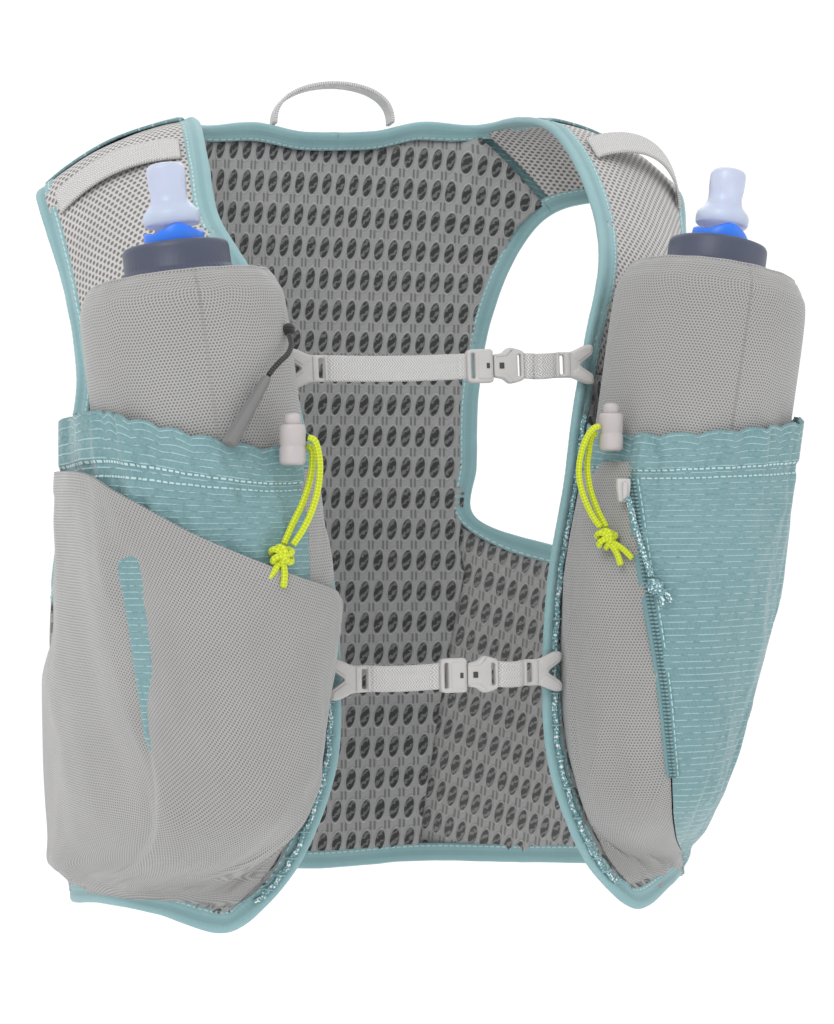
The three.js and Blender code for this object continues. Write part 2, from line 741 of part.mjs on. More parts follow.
const MOUTH_ROW_HEIGHT = LENGTH * 0.077;
const CHANNEL_ROW = MOUTH_ROW + (CHANNEL_HEIGHT / MOUTH_ROW_HEIGHT) * stripRow(1);
const POCKET_COLUMNS = 26;
const POCKET_ROWS = 8;
const CHANNEL_ROWS = 2;

// Place of the zip across the pocket front, at a row of the strip.
const ZIP_BOTTOM_ROW = stripRow(11.1);
const zipPlace = (v) => mix(0.262, 0.42, (v - CHANNEL_ROW) / (ZIP_BOTTOM_ROW - CHANNEL_ROW));
const ZIP_SHARE = ZIP_WIDTH / 2 / 240; // half the zip's width across the pocket front
const ZIP_COLUMN = 5;

function gather(u, v) {
  const waves = Math.sin(2 * Math.PI * GATHER_WAVES * u + 0.6 * Math.sin(5 * u));
  const rooted = smoothstep(0.02, 0.16, u) * smoothstep(0, 0.08, 1 - u);
  return GATHER_DEPTH * waves * rooted * (1 - smoothstep(MOUTH_ROW, CHANNEL_ROW * 1.12, v));
}

const POCKET_FOOT = { l: stripRow(11), r: HEM_ROW };

function pocketRow(side, v) {
  const channel = CHANNEL_ROWS / POCKET_ROWS;
  if (v < channel) return mix(MOUTH_ROW, CHANNEL_ROW, v / channel);
  return mix(CHANNEL_ROW, POCKET_FOOT[side], (v - channel) / (1 - channel));
}

// Under the stretch pocket the left one is rooted a little further from the front edge.
const LAYER_START = 0.024;
const layerStart = (row) => LAYER_START * smoothstep(stripRow(8.6), stripRow(9.6), row);

// Place of the seam between the left front's gusset and its ripstop, at a row of the strip.
const seamPlace = (v) => mix(0.078, 0.112, (v - CHANNEL_ROW) / (POCKET_FOOT.l - CHANNEL_ROW));
const SEAM_COLUMN = 2;
const SEAM_SHARE = 0.0035; // half the gap between gusset and ripstop

// Place across of a share of a pocket's columns, where one column line follows a seam.
function splitPlace(u, column, low, from = 0) {
  const share = column / POCKET_COLUMNS;
  return u < share ? mix(from, low, u / share) : mix(low, 1, (u - share) / (1 - share));
}

const leftPocket = (u, v) => {
  const row = pocketRow("l", v);
  const place = splitPlace(u, SEAM_COLUMN, seamPlace(row), layerStart(row));
  return onSide("l", pocket("l", place, row, gather(place, row)));
};
add(
  "bottle_pocket_l",
  sheet(leftPocket, POCKET_COLUMNS, POCKET_ROWS, RIPSTOP_WALL, {
    keep: (i, j) => i >= SEAM_COLUMN || j < CHANNEL_ROWS,
  }),
  "ripstop",
);

const rightPocket = (u, v) => {
  const row = pocketRow("r", v);
  const place = splitPlace(u, ZIP_COLUMN, zipPlace(row));
  return onSide("r", pocket("r", place, row, gather(place, row)));
};
add(
  "bottle_pocket_r",
  sheet(rightPocket, POCKET_COLUMNS, POCKET_ROWS, RIPSTOP_WALL, {
    keep: (i, j) => i >= ZIP_COLUMN || j < CHANNEL_ROWS,
  }),
  "ripstop",
);

// Stretch pocket over the lower left front, with a slanting top edge

const STRETCH_LIFT = RIPSTOP_WALL / 2 + GAP + STRETCH_WALL / 2 + 1.6;
const STRETCH_TOP = { front: stripRow(9.7), side: stripRow(8.1) };
const FOLD_DEPTH = 2.2;
const STRETCH_ROOT = 0.007; // place of its front edge across the pocket front

function stretchPoint(u, v) {
  const top = mix(STRETCH_TOP.front, STRETCH_TOP.side, smoothstep(0, 1.05, u));
  const row = mix(top, HEM_ROW, v);
  const fold = FOLD_DEPTH * Math.exp(-(((v - 0.72 - 0.12 * u) / 0.07) ** 2));
  const lift = STRETCH_LIFT * smoothstep(-0.03, 0.05, u) + FOLD_DEPTH * v * (1 - v) * u + fold * u;
  return onSide("l", pocket("l", mix(STRETCH_ROOT, 1, u), row, lift));
}
add("stretch_pocket", sheet(stretchPoint, POCKET_COLUMNS, 7, STRETCH_WALL), "stretch");

// Stretch gussets between each front edge and the seam or the zip beside it

const GUSSET_TOP = CHANNEL_ROW + 0.003;
const GUSSET_ROWS = POCKET_ROWS - CHANNEL_ROWS;

function gusset(side, from, to) {
  const point = (u, v) => {
    const row = mix(GUSSET_TOP, POCKET_FOOT[side], v);
    return onSide(side, pocket(side, mix(from(row), to(row), u), row, 0));
  };
  const columns = side === "l" ? SEAM_COLUMN : ZIP_COLUMN;
  add(`stretch_gusset_${side}`, sheet(point, columns, GUSSET_ROWS, STRETCH_WALL), "stretch");
}
gusset("l", layerStart, (row) => seamPlace(row) - 2 * SEAM_SHARE);
gusset("r", () => 0, (row) => zipPlace(row) - ZIP_SHARE * 0.4);

const ZIP_LIFT = RIPSTOP_WALL / 2 + GAP + ZIP_THICKNESS / 2 + 0.35;
function zipPoint(u, v) {
  const row = mix(CHANNEL_ROW + 0.012, ZIP_BOTTOM_ROW, v);
  return onSide("r", pocket("r", zipPlace(row) + ZIP_SHARE * (2 * u - 1), row, ZIP_LIFT));
}
add("zip_tape", sheet(zipPoint, 1, 9, ZIP_THICKNESS), "ripstop");

// Tape round the whole outer edge: neck, front edges and hem

const CORNER_SHARE = 0.75; // of the tape's width, each way, where two edges meet
const tapeShare = (v) => BINDING_WIDTH / stripWidth(v);
const LAST_ROW_HEIGHT = LENGTH * 0.041;
const HEM_TAPE_ROW = 1 - (BINDING_WIDTH / LAST_ROW_HEIGHT) * stripRow(1);

function perimeter() {
  const half = [];
  for (const share of [0.3, 0.62]) {
    const across = NECK_SHARE * share;
    half.push([back(across, 1), backClothTop(across)]);
  }
  for (let row = 0; row < STRIP_LAST; row++) {
    const v = stripRow(row);
    half.push([strip(0, v), strip(tapeShare(v), v)]);
  }
  half.push([strip(0, 1), strip(tapeShare(1) * CORNER_SHARE, mix(1, HEM_TAPE_ROW, CORNER_SHARE))]);
  for (const share of [0.3, 0.65]) half.push([strip(share, 1), strip(share, HEM_TAPE_ROW)]);
  for (const share of [0, 0.35, 0.7]) {
    half.push([sidePanel(share, 1), sidePanel(share, 1 - BINDING_WIDTH / SIDE_HEIGHT)]);
  }
  half.push([back(1, 0), back(1, HEM_INSET)]);
  const right = half.map((posts) => posts.map((p) => onSide("r", p)));
  const left = half.map((posts) => posts.map((p) => onSide("l", p))).reverse();
  const top = [back(0, 1), backClothTop(0)];
  const bottom = [back(0, 0), back(0, HEM_INSET)];
  return rimOf([top, ...right, bottom, ...left]);
}
const edgeRim = perimeter();
const FIRST_STRIP_POST = 3;
const EDGE_STEPS = 84;
add("edge_binding", tape(edgeRim, EDGE_STEPS), "tape");

// Place on the edge of a row of the front strip.
function edgePlace(side, row) {
  const post = FIRST_STRIP_POST + row;
  return (side === "r" ? post : edgeRim.count - post) / edgeRim.count;
}

const ARMHOLE_STEPS = 34;
const ARMHOLE_HEIGHTS = [-0.518, -0.45, -0.347, -0.235, -0.141];

function armhole(side) {
  const posts = [];
  const under = BINDING_WIDTH / SIDE_HEIGHT;
  for (let row = 0; row < 9; row++) {
    const v = stripRow(row);
    posts.push([strip(1, v), strip(1 - tapeShare(v), v)]);
  }
  posts.push([sidePanel(0, 0), sidePanel(0, under)]);
  for (const share of [0.33, 0.66]) posts.push([sidePanel(share, 0), sidePanel(share, under)]);
  for (const height of ARMHOLE_HEIGHTS) {
    const v = backRowAt(height * LENGTH) * BACK_SHARE;
    posts.push([back(1, v), back(backEdge(v), v)]);
  }
  return tape(rimOf(posts.map((post) => post.map((p) => onSide(side, p)))), ARMHOLE_STEPS);
}
add("armhole_binding_l", armhole("l"), "tape");
add("armhole_binding_r", armhole("r"), "tape");

// Flecked cords tacked along both front edges, from under the upper clip to the corner

const EDGE_CORD_ROWS = { from: 6.9, to: 13.2 };
const EDGE_CORD_STEPS = 20;
const EDGE_CORD_TACKS = 6;
const SCALLOP = 0.6;
const EDGE_CORD_PLACE = 0.47; // across the tape's width

for (const side of ["l", "r"]) {
  const points = [];
  for (let k = 0; k <= EDGE_CORD_STEPS; k++) {
    const share = k / EDGE_CORD_STEPS;
    const row = mix(EDGE_CORD_ROWS.from, EDGE_CORD_ROWS.to, share);
    const { p, across, face } = rimFrame(edgeRim, edgePlace(side, row));
    p.addScaledVector(face, BINDING_THICKNESS / 2 + GAP + EDGE_CORD / 2);
    const wave = SCALLOP * Math.sin(Math.PI * EDGE_CORD_TACKS * share) ** 2;
    p.addScaledVector(across, BINDING_WIDTH * EDGE_CORD_PLACE - wave);
    points.push(p.toArray());
  }
  add(`edge_cord_${side}`, tube(points, EDGE_CORD, EDGE_CORD_STEPS, 6), "fleck");
}

// Chest straps: clip, webbing, buckle frame, plug, webbing, clip. Each piece is placed
// by its span along X, as shares of the distance from centre line to clip end.

const STRAPS = [
  { name: "upper", z: -117, reach: 64, y: -94, frame: 0.15, plug: 0.325 },
  { name: "lower", z: -239.5, reach: 48, y: -99.6, frame: -0.07, plug: 0.155 },
];
const BAR = 2.4; // clip's wall around its slot

function clip() {
  const throat = CLIP_HEIGHT * 0.32;
  const arm = CLIP_HEIGHT / 2;
  const upper = [
    [CLIP_LENGTH * 0.62, 0],
    [CLIP_LENGTH, arm * 0.55],
    [CLIP_LENGTH, arm],
    [CLIP_LENGTH * 0.8, arm],
    [CLIP_LENGTH * 0.42, throat],
    [0, throat],
  ];
  const lower = upper.slice(1).map(([x, z]) => [x, -z]).reverse();
  const slotHalf = CLIP_HEIGHT * 0.24;
  const slot = [
    [BAR * 0.7, -slotHalf],
    [BAR * 1.5, -slotHalf],
    [BAR * 1.5, slotHalf],
    [BAR * 0.7, slotHalf],
  ];
  return plate([...upper, ...lower], CLIP_THICKNESS, [slot]);
}

function frame() {
  const half = FRAME_HEIGHT / 2;
  const outline = [
    [0, -half * 0.86],
    [FRAME_LENGTH * 0.14, -half],
    [FRAME_LENGTH, -half],
    [FRAME_LENGTH, half],
    [FRAME_LENGTH * 0.14, half],
    [0, half * 0.86],
  ];
  const slot = [
    [FRAME_LENGTH * 0.16, -half * 0.74],
    [FRAME_LENGTH * 0.3, -half * 0.74],
    [FRAME_LENGTH * 0.3, half * 0.74],
    [FRAME_LENGTH * 0.16, half * 0.74],
  ];
  return plate(outline, FRAME_THICKNESS, [slot]);
}

function plug() {
  const half = PLUG_HEIGHT / 2;
  const outline = [
    [0, -half * 0.62],
    [PLUG_LENGTH * 0.3, -half * 0.7],
    [PLUG_LENGTH * 0.5, -half],
    [PLUG_LENGTH * 0.78, -half * 0.9],
    [PLUG_LENGTH, -half * 0.74],
    [PLUG_LENGTH, half * 0.74],
    [PLUG_LENGTH * 0.78, half * 0.9],
    [PLUG_LENGTH * 0.5, half],
    [PLUG_LENGTH * 0.3, half * 0.7],
    [0, half * 0.62],
  ];
  return plate(outline, PLUG_THICKNESS);
}

function webbing(from, to, strap) {
  const height = WEB_WIDTH;
  const centre = (x) => hang(x, strap.y, strap.z);
  const point = (u, v) => {
    const p = centre(mix(from, to, v));
    p.z += height * (u - 0.5);
    return p;
  };
  return sheet(point, 1, 6, WEB_THICKNESS);
}

for (const strap of STRAPS) {
  const place = (mesh, x, turnRound) => {
    mesh.position.copy(hang(x, strap.y, strap.z));
    const slope = SKEW * (1 + strap.z / LENGTH);
    mesh.rotation.set(0, turnRound ? Math.PI - slope : -slope, 0);
    return mesh;
  };
  const { name, reach } = strap;
  const frameX = strap.frame * reach;
  const plugX = strap.plug * reach;
  const clipFoot = reach - CLIP_LENGTH;
  place(add(`strap_clip_${name}_l`, clip(), "plastic"), -clipFoot, true);
  place(add(`strap_clip_${name}_r`, clip(), "plastic"), clipFoot, false);
  place(add(`buckle_frame_${name}`, frame(), "plastic"), frameX, false);
  const plugFoot = Math.max(plugX, frameX + FRAME_LENGTH + GAP);
  place(add(`buckle_plug_${name}`, plug(), "plastic"), plugFoot, false);
  add(`webbing_${name}_l`, webbing(-clipFoot + GAP, frameX - GAP, strap), "web");
  add(`webbing_${name}_r`, webbing(plugFoot + PLUG_LENGTH + GAP, clipFoot - GAP, strap), "web");
}

// Cord locks on the pocket hems, each with its sprung button

const LOCKS = {
  l: [-75.4, -155, -152],
  r: [55.5, -133.9, -144.3],
};
const LOCK_WALL = 1.2;

for (const side of ["l", "r"]) {
  const group = new THREE.Group();
  group.position.set(...LOCKS[side]);
  vest.add(group);
  const bore = LOCK_RADIUS - LOCK_WALL;
  const floor = 4;
  const foot = -LOCK_HEIGHT / 2;
  const barrelRows = [
    [0, foot],
    [LOCK_RADIUS * 0.86, foot],
    [LOCK_RADIUS, foot + 1],
    [LOCK_RADIUS, -foot - 0.8],
    [LOCK_RADIUS * 0.9, -foot],
    [bore, -foot],
    [bore, foot + floor],
    [0, foot + floor],
  ];
  add(`cord_lock_${side}`, turned(barrelRows, 12), "plastic", group);
  const seat = foot + BUTTON_SEAT;
  const top = -foot + BUTTON_RISE;
  const buttonRows = [
    [0, seat],
    [BUTTON_RADIUS, seat],
    [BUTTON_RADIUS, top - 1.4],
    [BUTTON_RADIUS * 0.75, top - 0.4],
    [0, top],
  ];
  add(`lock_button_${side}`, turned(buttonRows, 12), "plastic", group);
}

// Free cords, along points chosen by hand, each with its knot or fitting

const DRAW_ROUTES = {
  draw_cord_l_front: [
    [-70.2, -156.6, -149.4],
    [-68, -157, -150.2],
    [-66.4, -157.2, -154.6],
    [-65.8, -157, -161],
    [-66.8, -157, -169],
    [-69.4, -157.2, -177],
    [-72.6, -157.6, -183],
    [-76, -158, -187.8],
  ],
  draw_cord_l_rear: [
    [-70.2, -153.8, -152.4],
    [-68.4, -153.9, -153],
    [-67.8, -153.7, -158],
    [-68.8, -153.8, -165],
    [-71.6, -154.2, -173],
    [-75.2, -155, -180],
    [-79, -156.6, -187.6],
  ],
  draw_cord_r_front: [
    [50.2, -135.6, -142.2],
    [47.6, -135.9, -143],
    [44.6, -135.6, -147],
    [42.4, -135.2, -154],
    [41.8, -135.2, -161.5],
    [43.6, -136, -170],
    [46.8, -137.4, -177.4],
    [49.4, -138.6, -181.3],
  ],
  draw_cord_r_rear: [
    [50.2, -132.8, -145],
    [48.4, -132.6, -145.8],
    [47, -132.3, -152],
    [46.4, -132.3, -158],
    [47.2, -133.1, -166],
    [49.4, -135.4, -174.6],
    [52, -138, -181.3],
  ],
};
for (const [name, route] of Object.entries(DRAW_ROUTES)) {
  add(name, tube(route, DRAW_CORD, 8), "cord");
}

const KNOTS = {
  l: { centre: [-80, -158.2, -191.6], tails: [[-85.6, -159.4, -200.4], [-79.8, -160, -203]] },
  r: { centre: [51.4, -139.4, -185.6], tails: [[58.6, -147.6, -193], [54.6, -146, -195.6]] },
};
const KNOT_SIZE = [5.2, 3, 3.9];

function ball(centre, size, detail = 8) {
  const geometry = new THREE.SphereGeometry(1, detail, Math.round(detail * 0.75));
  geometry.scale(...size);
  geometry.translate(...centre);
  return closed(geometry);
}

for (const side of ["l", "r"]) {
  const { centre, tails } = KNOTS[side];
  const ends = tails.map((tail) => tube([centre, tail], DRAW_CORD, 1));
  add(`draw_knot_${side}`, join(ball(centre, KNOT_SIZE, 8), ...ends), "cord");
}

// Zip slider with its pull cord and knot

const SLIDER = [57, -142.5, -167];
const SLIDER_SIZE = [5.4, 2.6, 9];
{
  const [width, depth, height] = SLIDER_SIZE;
  const outline = [
    [-width * 0.35, -height / 2],
    [width * 0.35, -height / 2],
    [width / 2, height * 0.1],
    [width / 2, height / 2],
    [-width / 2, height / 2],
    [-width / 2, height * 0.1],
  ];
  const slider = add("zip_slider", plate(outline, depth), "plastic");
  slider.position.set(...SLIDER);
}
const ZIP_ROUTE = [
  [57.6, -145.3, -169.6],
  [58.4, -146.2, -173.4],
  [59.6, -147.6, -180],
  [61.2, -149.8, -188],
  [62.8, -151.8, -195],
  [64.1, -153.3, -200.1],
];
add("zip_cord", tube(ZIP_ROUTE, ZIP_CORD, 6), "fleck");
{
  const centre = [65, -154.2, -203.4];
  const tails = [[67, -156.8, -211], [70.4, -157.4, -209.4]];
  const ends = tails.map((tail) => tube([centre, tail], ZIP_CORD, 1));
  add("zip_knot", join(ball(centre, [3.4, 2.6, 3.3], 8), ...ends), "fleck");
}

// Black pull cord with its ball and tapered grip, in front of the left sleeve

const PULL_ROUTE = [
  [-72.5, -136.8, -110.7],
  [-72.8, -141.4, -114.8],
  [-75, -145.2, -118.6],
  [-78.4, -148, -121.6],
  [-81.6, -150.2, -124.8],
  [-83.6, -151.6, -127.2],
];
add("pull_cord", tube(PULL_ROUTE, PULL_CORD, 6), "black");
add("pull_ball", ball([-72.3, -135, -108.6], [2.4, 2.4, 2.4], 8), "black");
{
  const from = vec(-84.1, -152, -127.8);
  const to = vec(-99.5, -159.6, -152.5);
  const along = to.clone().sub(from);
  const geometry = new THREE.CylinderGeometry(3.3, 2, along.length(), 4);
  geometry.scale(1, 1, 0.62);
  geometry.rotateY(Math.PI / 4);
  const grip = add("pull_grip", closed(geometry), "grip");
  grip.position.copy(from).addScaledVector(along, 0.5);
  grip.quaternion.setFromUnitVectors(vec(0, -1, 0), along.clone().normalize());
}

// Hang loop on the back neck and a band across each shoulder strap

const LOOP_SPAN = 29;
const LOOP_RISE = 19;
{
  const foot = NECK.z(0.3) * LENGTH + BINDING_THICKNESS * 0.2 + 2 * GAP;
  const y = HALF_DEPTH * 0.79;
  const point = (u, v) => {
    const angle = Math.PI * v;
    const x = -LOOP_SPAN * Math.cos(angle) - 2.5;
    const z = foot + 2.2 + LOOP_RISE * Math.sin(angle) ** 0.8;
    return hang(x, y + LOOP_WIDTH * (u - 0.3), z);
  };
  add("hang_loop", sheet(point, 1, 16, LOOP_THICKNESS), "web");
}

const BANDS = { l: { row: 2.75, arch: 2.5 }, r: { row: 2.75, arch: 9 } };
for (const side of ["l", "r"]) {
  const { row, arch } = BANDS[side];
  const point = (u, v) => {
    const at = stripRow(row + 0.22 * (u - 0.5) * 2);
    const edge = bindingShare(at);
    const p = strip(mix(edge, 1 - edge, v), at);
    const lift = STRAP_WALL / 2 + 2.5 * GAP + BAND_THICKNESS / 2 + arch * Math.sin(Math.PI * v) ** 0.8;
    return onSide(side, p.addScaledVector(outward(p), lift));
  };
  add(`shoulder_band_${side}`, sheet(point, 1, 10, BAND_THICKNESS), "web");
}

export default vest;
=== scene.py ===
import math
from functools import lru_cache

import bpy
import numpy as np
from mathutils import Matrix, Vector, noise


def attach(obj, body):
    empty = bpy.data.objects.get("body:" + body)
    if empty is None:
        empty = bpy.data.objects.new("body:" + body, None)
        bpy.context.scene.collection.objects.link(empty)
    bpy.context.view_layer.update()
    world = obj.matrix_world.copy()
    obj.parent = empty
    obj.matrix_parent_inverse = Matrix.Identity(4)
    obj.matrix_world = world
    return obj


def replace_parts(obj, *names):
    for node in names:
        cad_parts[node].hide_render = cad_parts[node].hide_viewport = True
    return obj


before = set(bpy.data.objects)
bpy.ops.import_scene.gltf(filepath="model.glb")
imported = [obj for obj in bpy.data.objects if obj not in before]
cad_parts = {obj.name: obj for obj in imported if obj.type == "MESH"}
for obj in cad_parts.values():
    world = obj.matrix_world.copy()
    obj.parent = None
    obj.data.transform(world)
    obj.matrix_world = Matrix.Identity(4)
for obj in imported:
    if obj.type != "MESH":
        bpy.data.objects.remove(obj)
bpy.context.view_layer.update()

MM = 0.001
BODY = "vest"

# Sizes in millimetres, as in the CAD source
HALF_WIDTH, HALF_DEPTH, LENGTH, SKEW = 142, 95, 340, 0.06
NECK_HALF, SEAM_OUTER = 66, 105
SPACER_WALL, STRAP_WALL, SHELL_WALL = 2.6, 2.0, 1.2
RIPSTOP_WALL, STRETCH_WALL = 0.9, 1.0
GAP = 0.4
TAPE = 9.0
FLASK_RADIUS, CAP_HEIGHT, COLLAR_HEIGHT, VALVE_HEIGHT = 36, 14, 6.5, 30
SLEEVE_RADIUS, SLEEVE_RIM, SLEEVE_LENGTH = 38.6, 32.5, 128
FLASK_X, FLASK_Y, FLASK_Z = 110, -113.4, -77
LEAN = {"l": 7.5, "r": 9}
CHANNEL = 19
POCKET_ROOT = -0.5  # where a pocket's cloth starts, from the tape's inner edge
SIDES = ("l", "r")
sign = {"l": -1, "r": 1}


# Camera, first of all
CAMERA_DISTANCE, CAMERA_HEIGHT = 0.870, -0.186
AIM_RIGHT, AIM_UP = 37, 28  # in pixels of the picture
A = math.radians(15.5)
right0 = Vector((math.cos(A), -math.sin(A), 0))
ahead0 = Vector((math.sin(A), math.cos(A), 0))
F_PIXELS = 1960.0
camera_data = bpy.data.cameras.new("camera")
camera_data.sensor_width = 36
camera_data.lens = 36 * F_PIXELS / 1024
camera_data.clip_start, camera_data.clip_end = 0.05, 50
camera = bpy.data.objects.new("camera", camera_data)
bpy.context.scene.collection.objects.link(camera)
ahead = (ahead0 + right0 * (AIM_RIGHT / F_PIXELS) + Vector((0, 0, AIM_UP / F_PIXELS))).normalized()
side = ahead.cross(Vector((0, 0, 1))).normalized()
up = side.cross(ahead)
stand = ahead0 * -CAMERA_DISTANCE + Vector((0, 0, CAMERA_HEIGHT))
camera.matrix_world = Matrix.Translation(stand) @ Matrix((side, up, -ahead)).transposed().to_4x4()
bpy.context.scene.camera = camera


# Surfaces of the garment
def mix(a, b, t):
    return a + (b - a) * t


def clamp(x, lo=0.0, hi=1.0):
    return min(max(x, lo), hi)


def smooth(a, b, x):
    t = clamp((x - a) / (b - a))
    return t * t * (3 - 2 * t)


def spline(values, place):
    last = len(values) - 1
    at = clamp(place) * last
    i = min(int(at), last - 1)
    t = at - i
    b, c = values[i], values[i + 1]
    a = values[i - 1] if i > 0 else 2 * b - c
    d = values[i + 2] if i + 2 <= last else 2 * c - b
    bend = (3 * (b - c) + d - a) * t + 2 * a - 5 * b + 4 * c - d
    return b + 0.5 * t * (c - a + t * bend)


class Table:
    def __init__(self, names, rows):
        self.columns = {n: [r[k] for r in rows] for k, n in enumerate(names)}

    def __call__(self, name, place):
        return spline(self.columns[name], place)


STRIP = Table(
    ["in_x", "in_y", "in_z", "out_x", "out_y", "out_z", "crown"],
    [
        [NECK_HALF / HALF_WIDTH, 0.705, 0.035, SEAM_OUTER / HALF_WIDTH, 0.63, -0.094, 0.03],
        [0.542, 0.36, 0.024, 0.958, 0.44, -0.082, 0.06],
        [0.563, 0.02, -0.006, 1.05, 0.13, -0.091, 0.08],
        [0.577, -0.27, -0.065, 1.028, -0.02, -0.147, 0.095],
        [0.577, -0.53, -0.147, 0.986, -0.13, -0.22, 0.115],
        [0.52, -0.8, -0.224, 0.965, -0.23, -0.288, 0.1],
        [0.45, -0.916, -0.309, 0.961, -0.274, -0.347, 0.055],
        [0.394, -0.968, -0.412, 0.982, -0.17, -0.426, 0.045],
        [0.366, -0.99, -0.485, 0.996, -0.074, -0.506, 0.045],
        [0.317, -1, -0.588, 1.003, 0, -0.588, 0.06],
        [0.296, -1, -0.706, 1.007, 0, -0.706, 0.12],
        [0.31, -1, -0.809, 1, 0, -0.809, 0.2],
        [0.394, -0.98, -0.906, 0.979, 0, -0.906, 0.21],
        [0.479, -0.958, -0.956, 0.961, 0, -0.956, 0.19],
        [0.599, -0.926, -0.994, 0.944, 0, -0.997, 0.15],
    ],
)
LAST = 14


def row(k):
    return k / LAST


STRAP_END, MOUTH_ROW, UNDERARM_ROW = row(6.4), row(7), row(9)
SIDE_EASE = (row(9.35), row(10.1))
HEM_ROW = row(13.15)
TUCK = (row(11.3), HEM_ROW)
CHANNEL_ROW = MOUTH_ROW + (CHANNEL / (LENGTH * 0.077)) * row(1)

BACK = Table(
    ["z", "half", "depth"],
    [
        [-1.018, 0.303, 0.98],
        [-0.81, 0.38, 0.99],
        [-0.69, 0.43, 1],
        [-0.576, 0.479, 1],
        [-0.474, 0.507, 1],
        [-0.347, 0.514, 0.99],
        [-0.235, 0.556, 0.98],
        [-0.141, 0.641, 0.96],
    ],
)
BACK_SHARE = 0.82
NECK = Table(["z", "y"], [[0.03, 0.79], [0.033, 0.79], [0.044, 0.76], [0.035, 0.705]])
UNDERARM = [-0.588, -0.597, -0.582, -0.555, -0.518]
POCKET = Table(
    ["out", "back", "radius"],
    [
        [0, 0, 1.17],
        [0, 0, 1.185],
        [0, 0, 1.19],
        [0.1, 0.1, 1.07],
        [0.16, 0.2, 0.9],
        [0.36, 0.42, 0.66],
        [0.64, 0.62, 0.43],
        [0.74, 0.85, 0.38],
    ],
)
POCKET_ANGLES = [179, 212, 248, 285, 322, 352]
NECK_SHARE = NECK_HALF / SEAM_OUTER


def hang(x, y, z):
    return Vector((x, y, z + SKEW * x * (1 + z / LENGTH)))


def on(s, p):
    return hang(sign[s] * p.x, p.y, p.z)


def outward(p):
    rise = max(0, p.z / LENGTH + 0.38) * 0.032
    lean = 1 - 0.62 * p.y / HALF_DEPTH if p.y > 0 else 1
    return Vector((p.x / HALF_WIDTH**2, p.y / HALF_DEPTH**2, rise * lean)).normalized()


@lru_cache(maxsize=100000)
def strip_row(v):
    a = (STRIP("in_x", v) * HALF_WIDTH, STRIP("in_y", v) * HALF_DEPTH, STRIP("in_z", v) * LENGTH)
    b = (STRIP("out_x", v) * HALF_WIDTH, STRIP("out_y", v) * HALF_DEPTH, STRIP("out_z", v) * LENGTH)
    return Vector(a), Vector(b)


@lru_cache(maxsize=100000)
def strip_rise(v):
    a, b = strip_row(v)
    a0, b0 = strip_row(max(0, v - 0.01))
    a1, b1 = strip_row(min(1, v + 0.01))
    down = (a1 + b1 - a0 - b0) / 2
    return down.cross(b - a).normalized() * STRIP("crown", v) * HALF_DEPTH


def strip(u, v):
    a, b = strip_row(v)
    return a.lerp(b, u) + strip_rise(v) * (4 * u * (1 - u))


@lru_cache(maxsize=100000)
def strip_width(v):
    a, b = strip_row(v)
    return (b - a).length


def back_depth(x, share):
    return HALF_DEPTH * share * math.sqrt(1 - (x / HALF_WIDTH) ** 2)


def back_top(u):
    n = abs(u)
    if n <= NECK_SHARE:
        s = n / NECK_SHARE
        return Vector((u * SEAM_OUTER, NECK("y", s) * HALF_DEPTH, NECK("z", s) * LENGTH))
    seam = strip((n - NECK_SHARE) / (1 - NECK_SHARE), 0)
    seam.x *= math.copysign(1, u)
    return seam


def back(u, v):
    rows = min(1, v / BACK_SHARE)
    x = u * BACK("half", rows) * HALF_WIDTH
    low = Vector((x, back_depth(x, BACK("depth", rows)), BACK("z", rows) * LENGTH))
    low.z += 0.021 * LENGTH * (1 - rows) * u * u * 0.3
    if v <= BACK_SHARE:
        return low
    return low.lerp(back_top(u), (v - BACK_SHARE) / (1 - BACK_SHARE))


@lru_cache(maxsize=100000)
def back_row_at(z):
    lo, hi = 0.0, 1.0
    for _ in range(24):
        m = (lo + hi) / 2
        if BACK("z", m) * LENGTH < z:
            lo = m
        else:
            hi = m
    return (lo + hi) / 2


def side_panel(u, v):
    r = mix(UNDERARM_ROW, 1, v)
    top = spline(UNDERARM, u) * LENGTH
    hem = mix(STRIP("out_z", 1), BACK("z", 0), u) * LENGTH
    z = mix(top, hem, v)
    half = STRIP("out_x", r) * HALF_WIDTH
    seam_x = BACK("half", back_row_at(round(z, 3))) * HALF_WIDTH
    angle = u * math.acos(seam_x / half)
    return Vector((half * math.cos(angle), HALF_DEPTH * math.sin(angle), z))


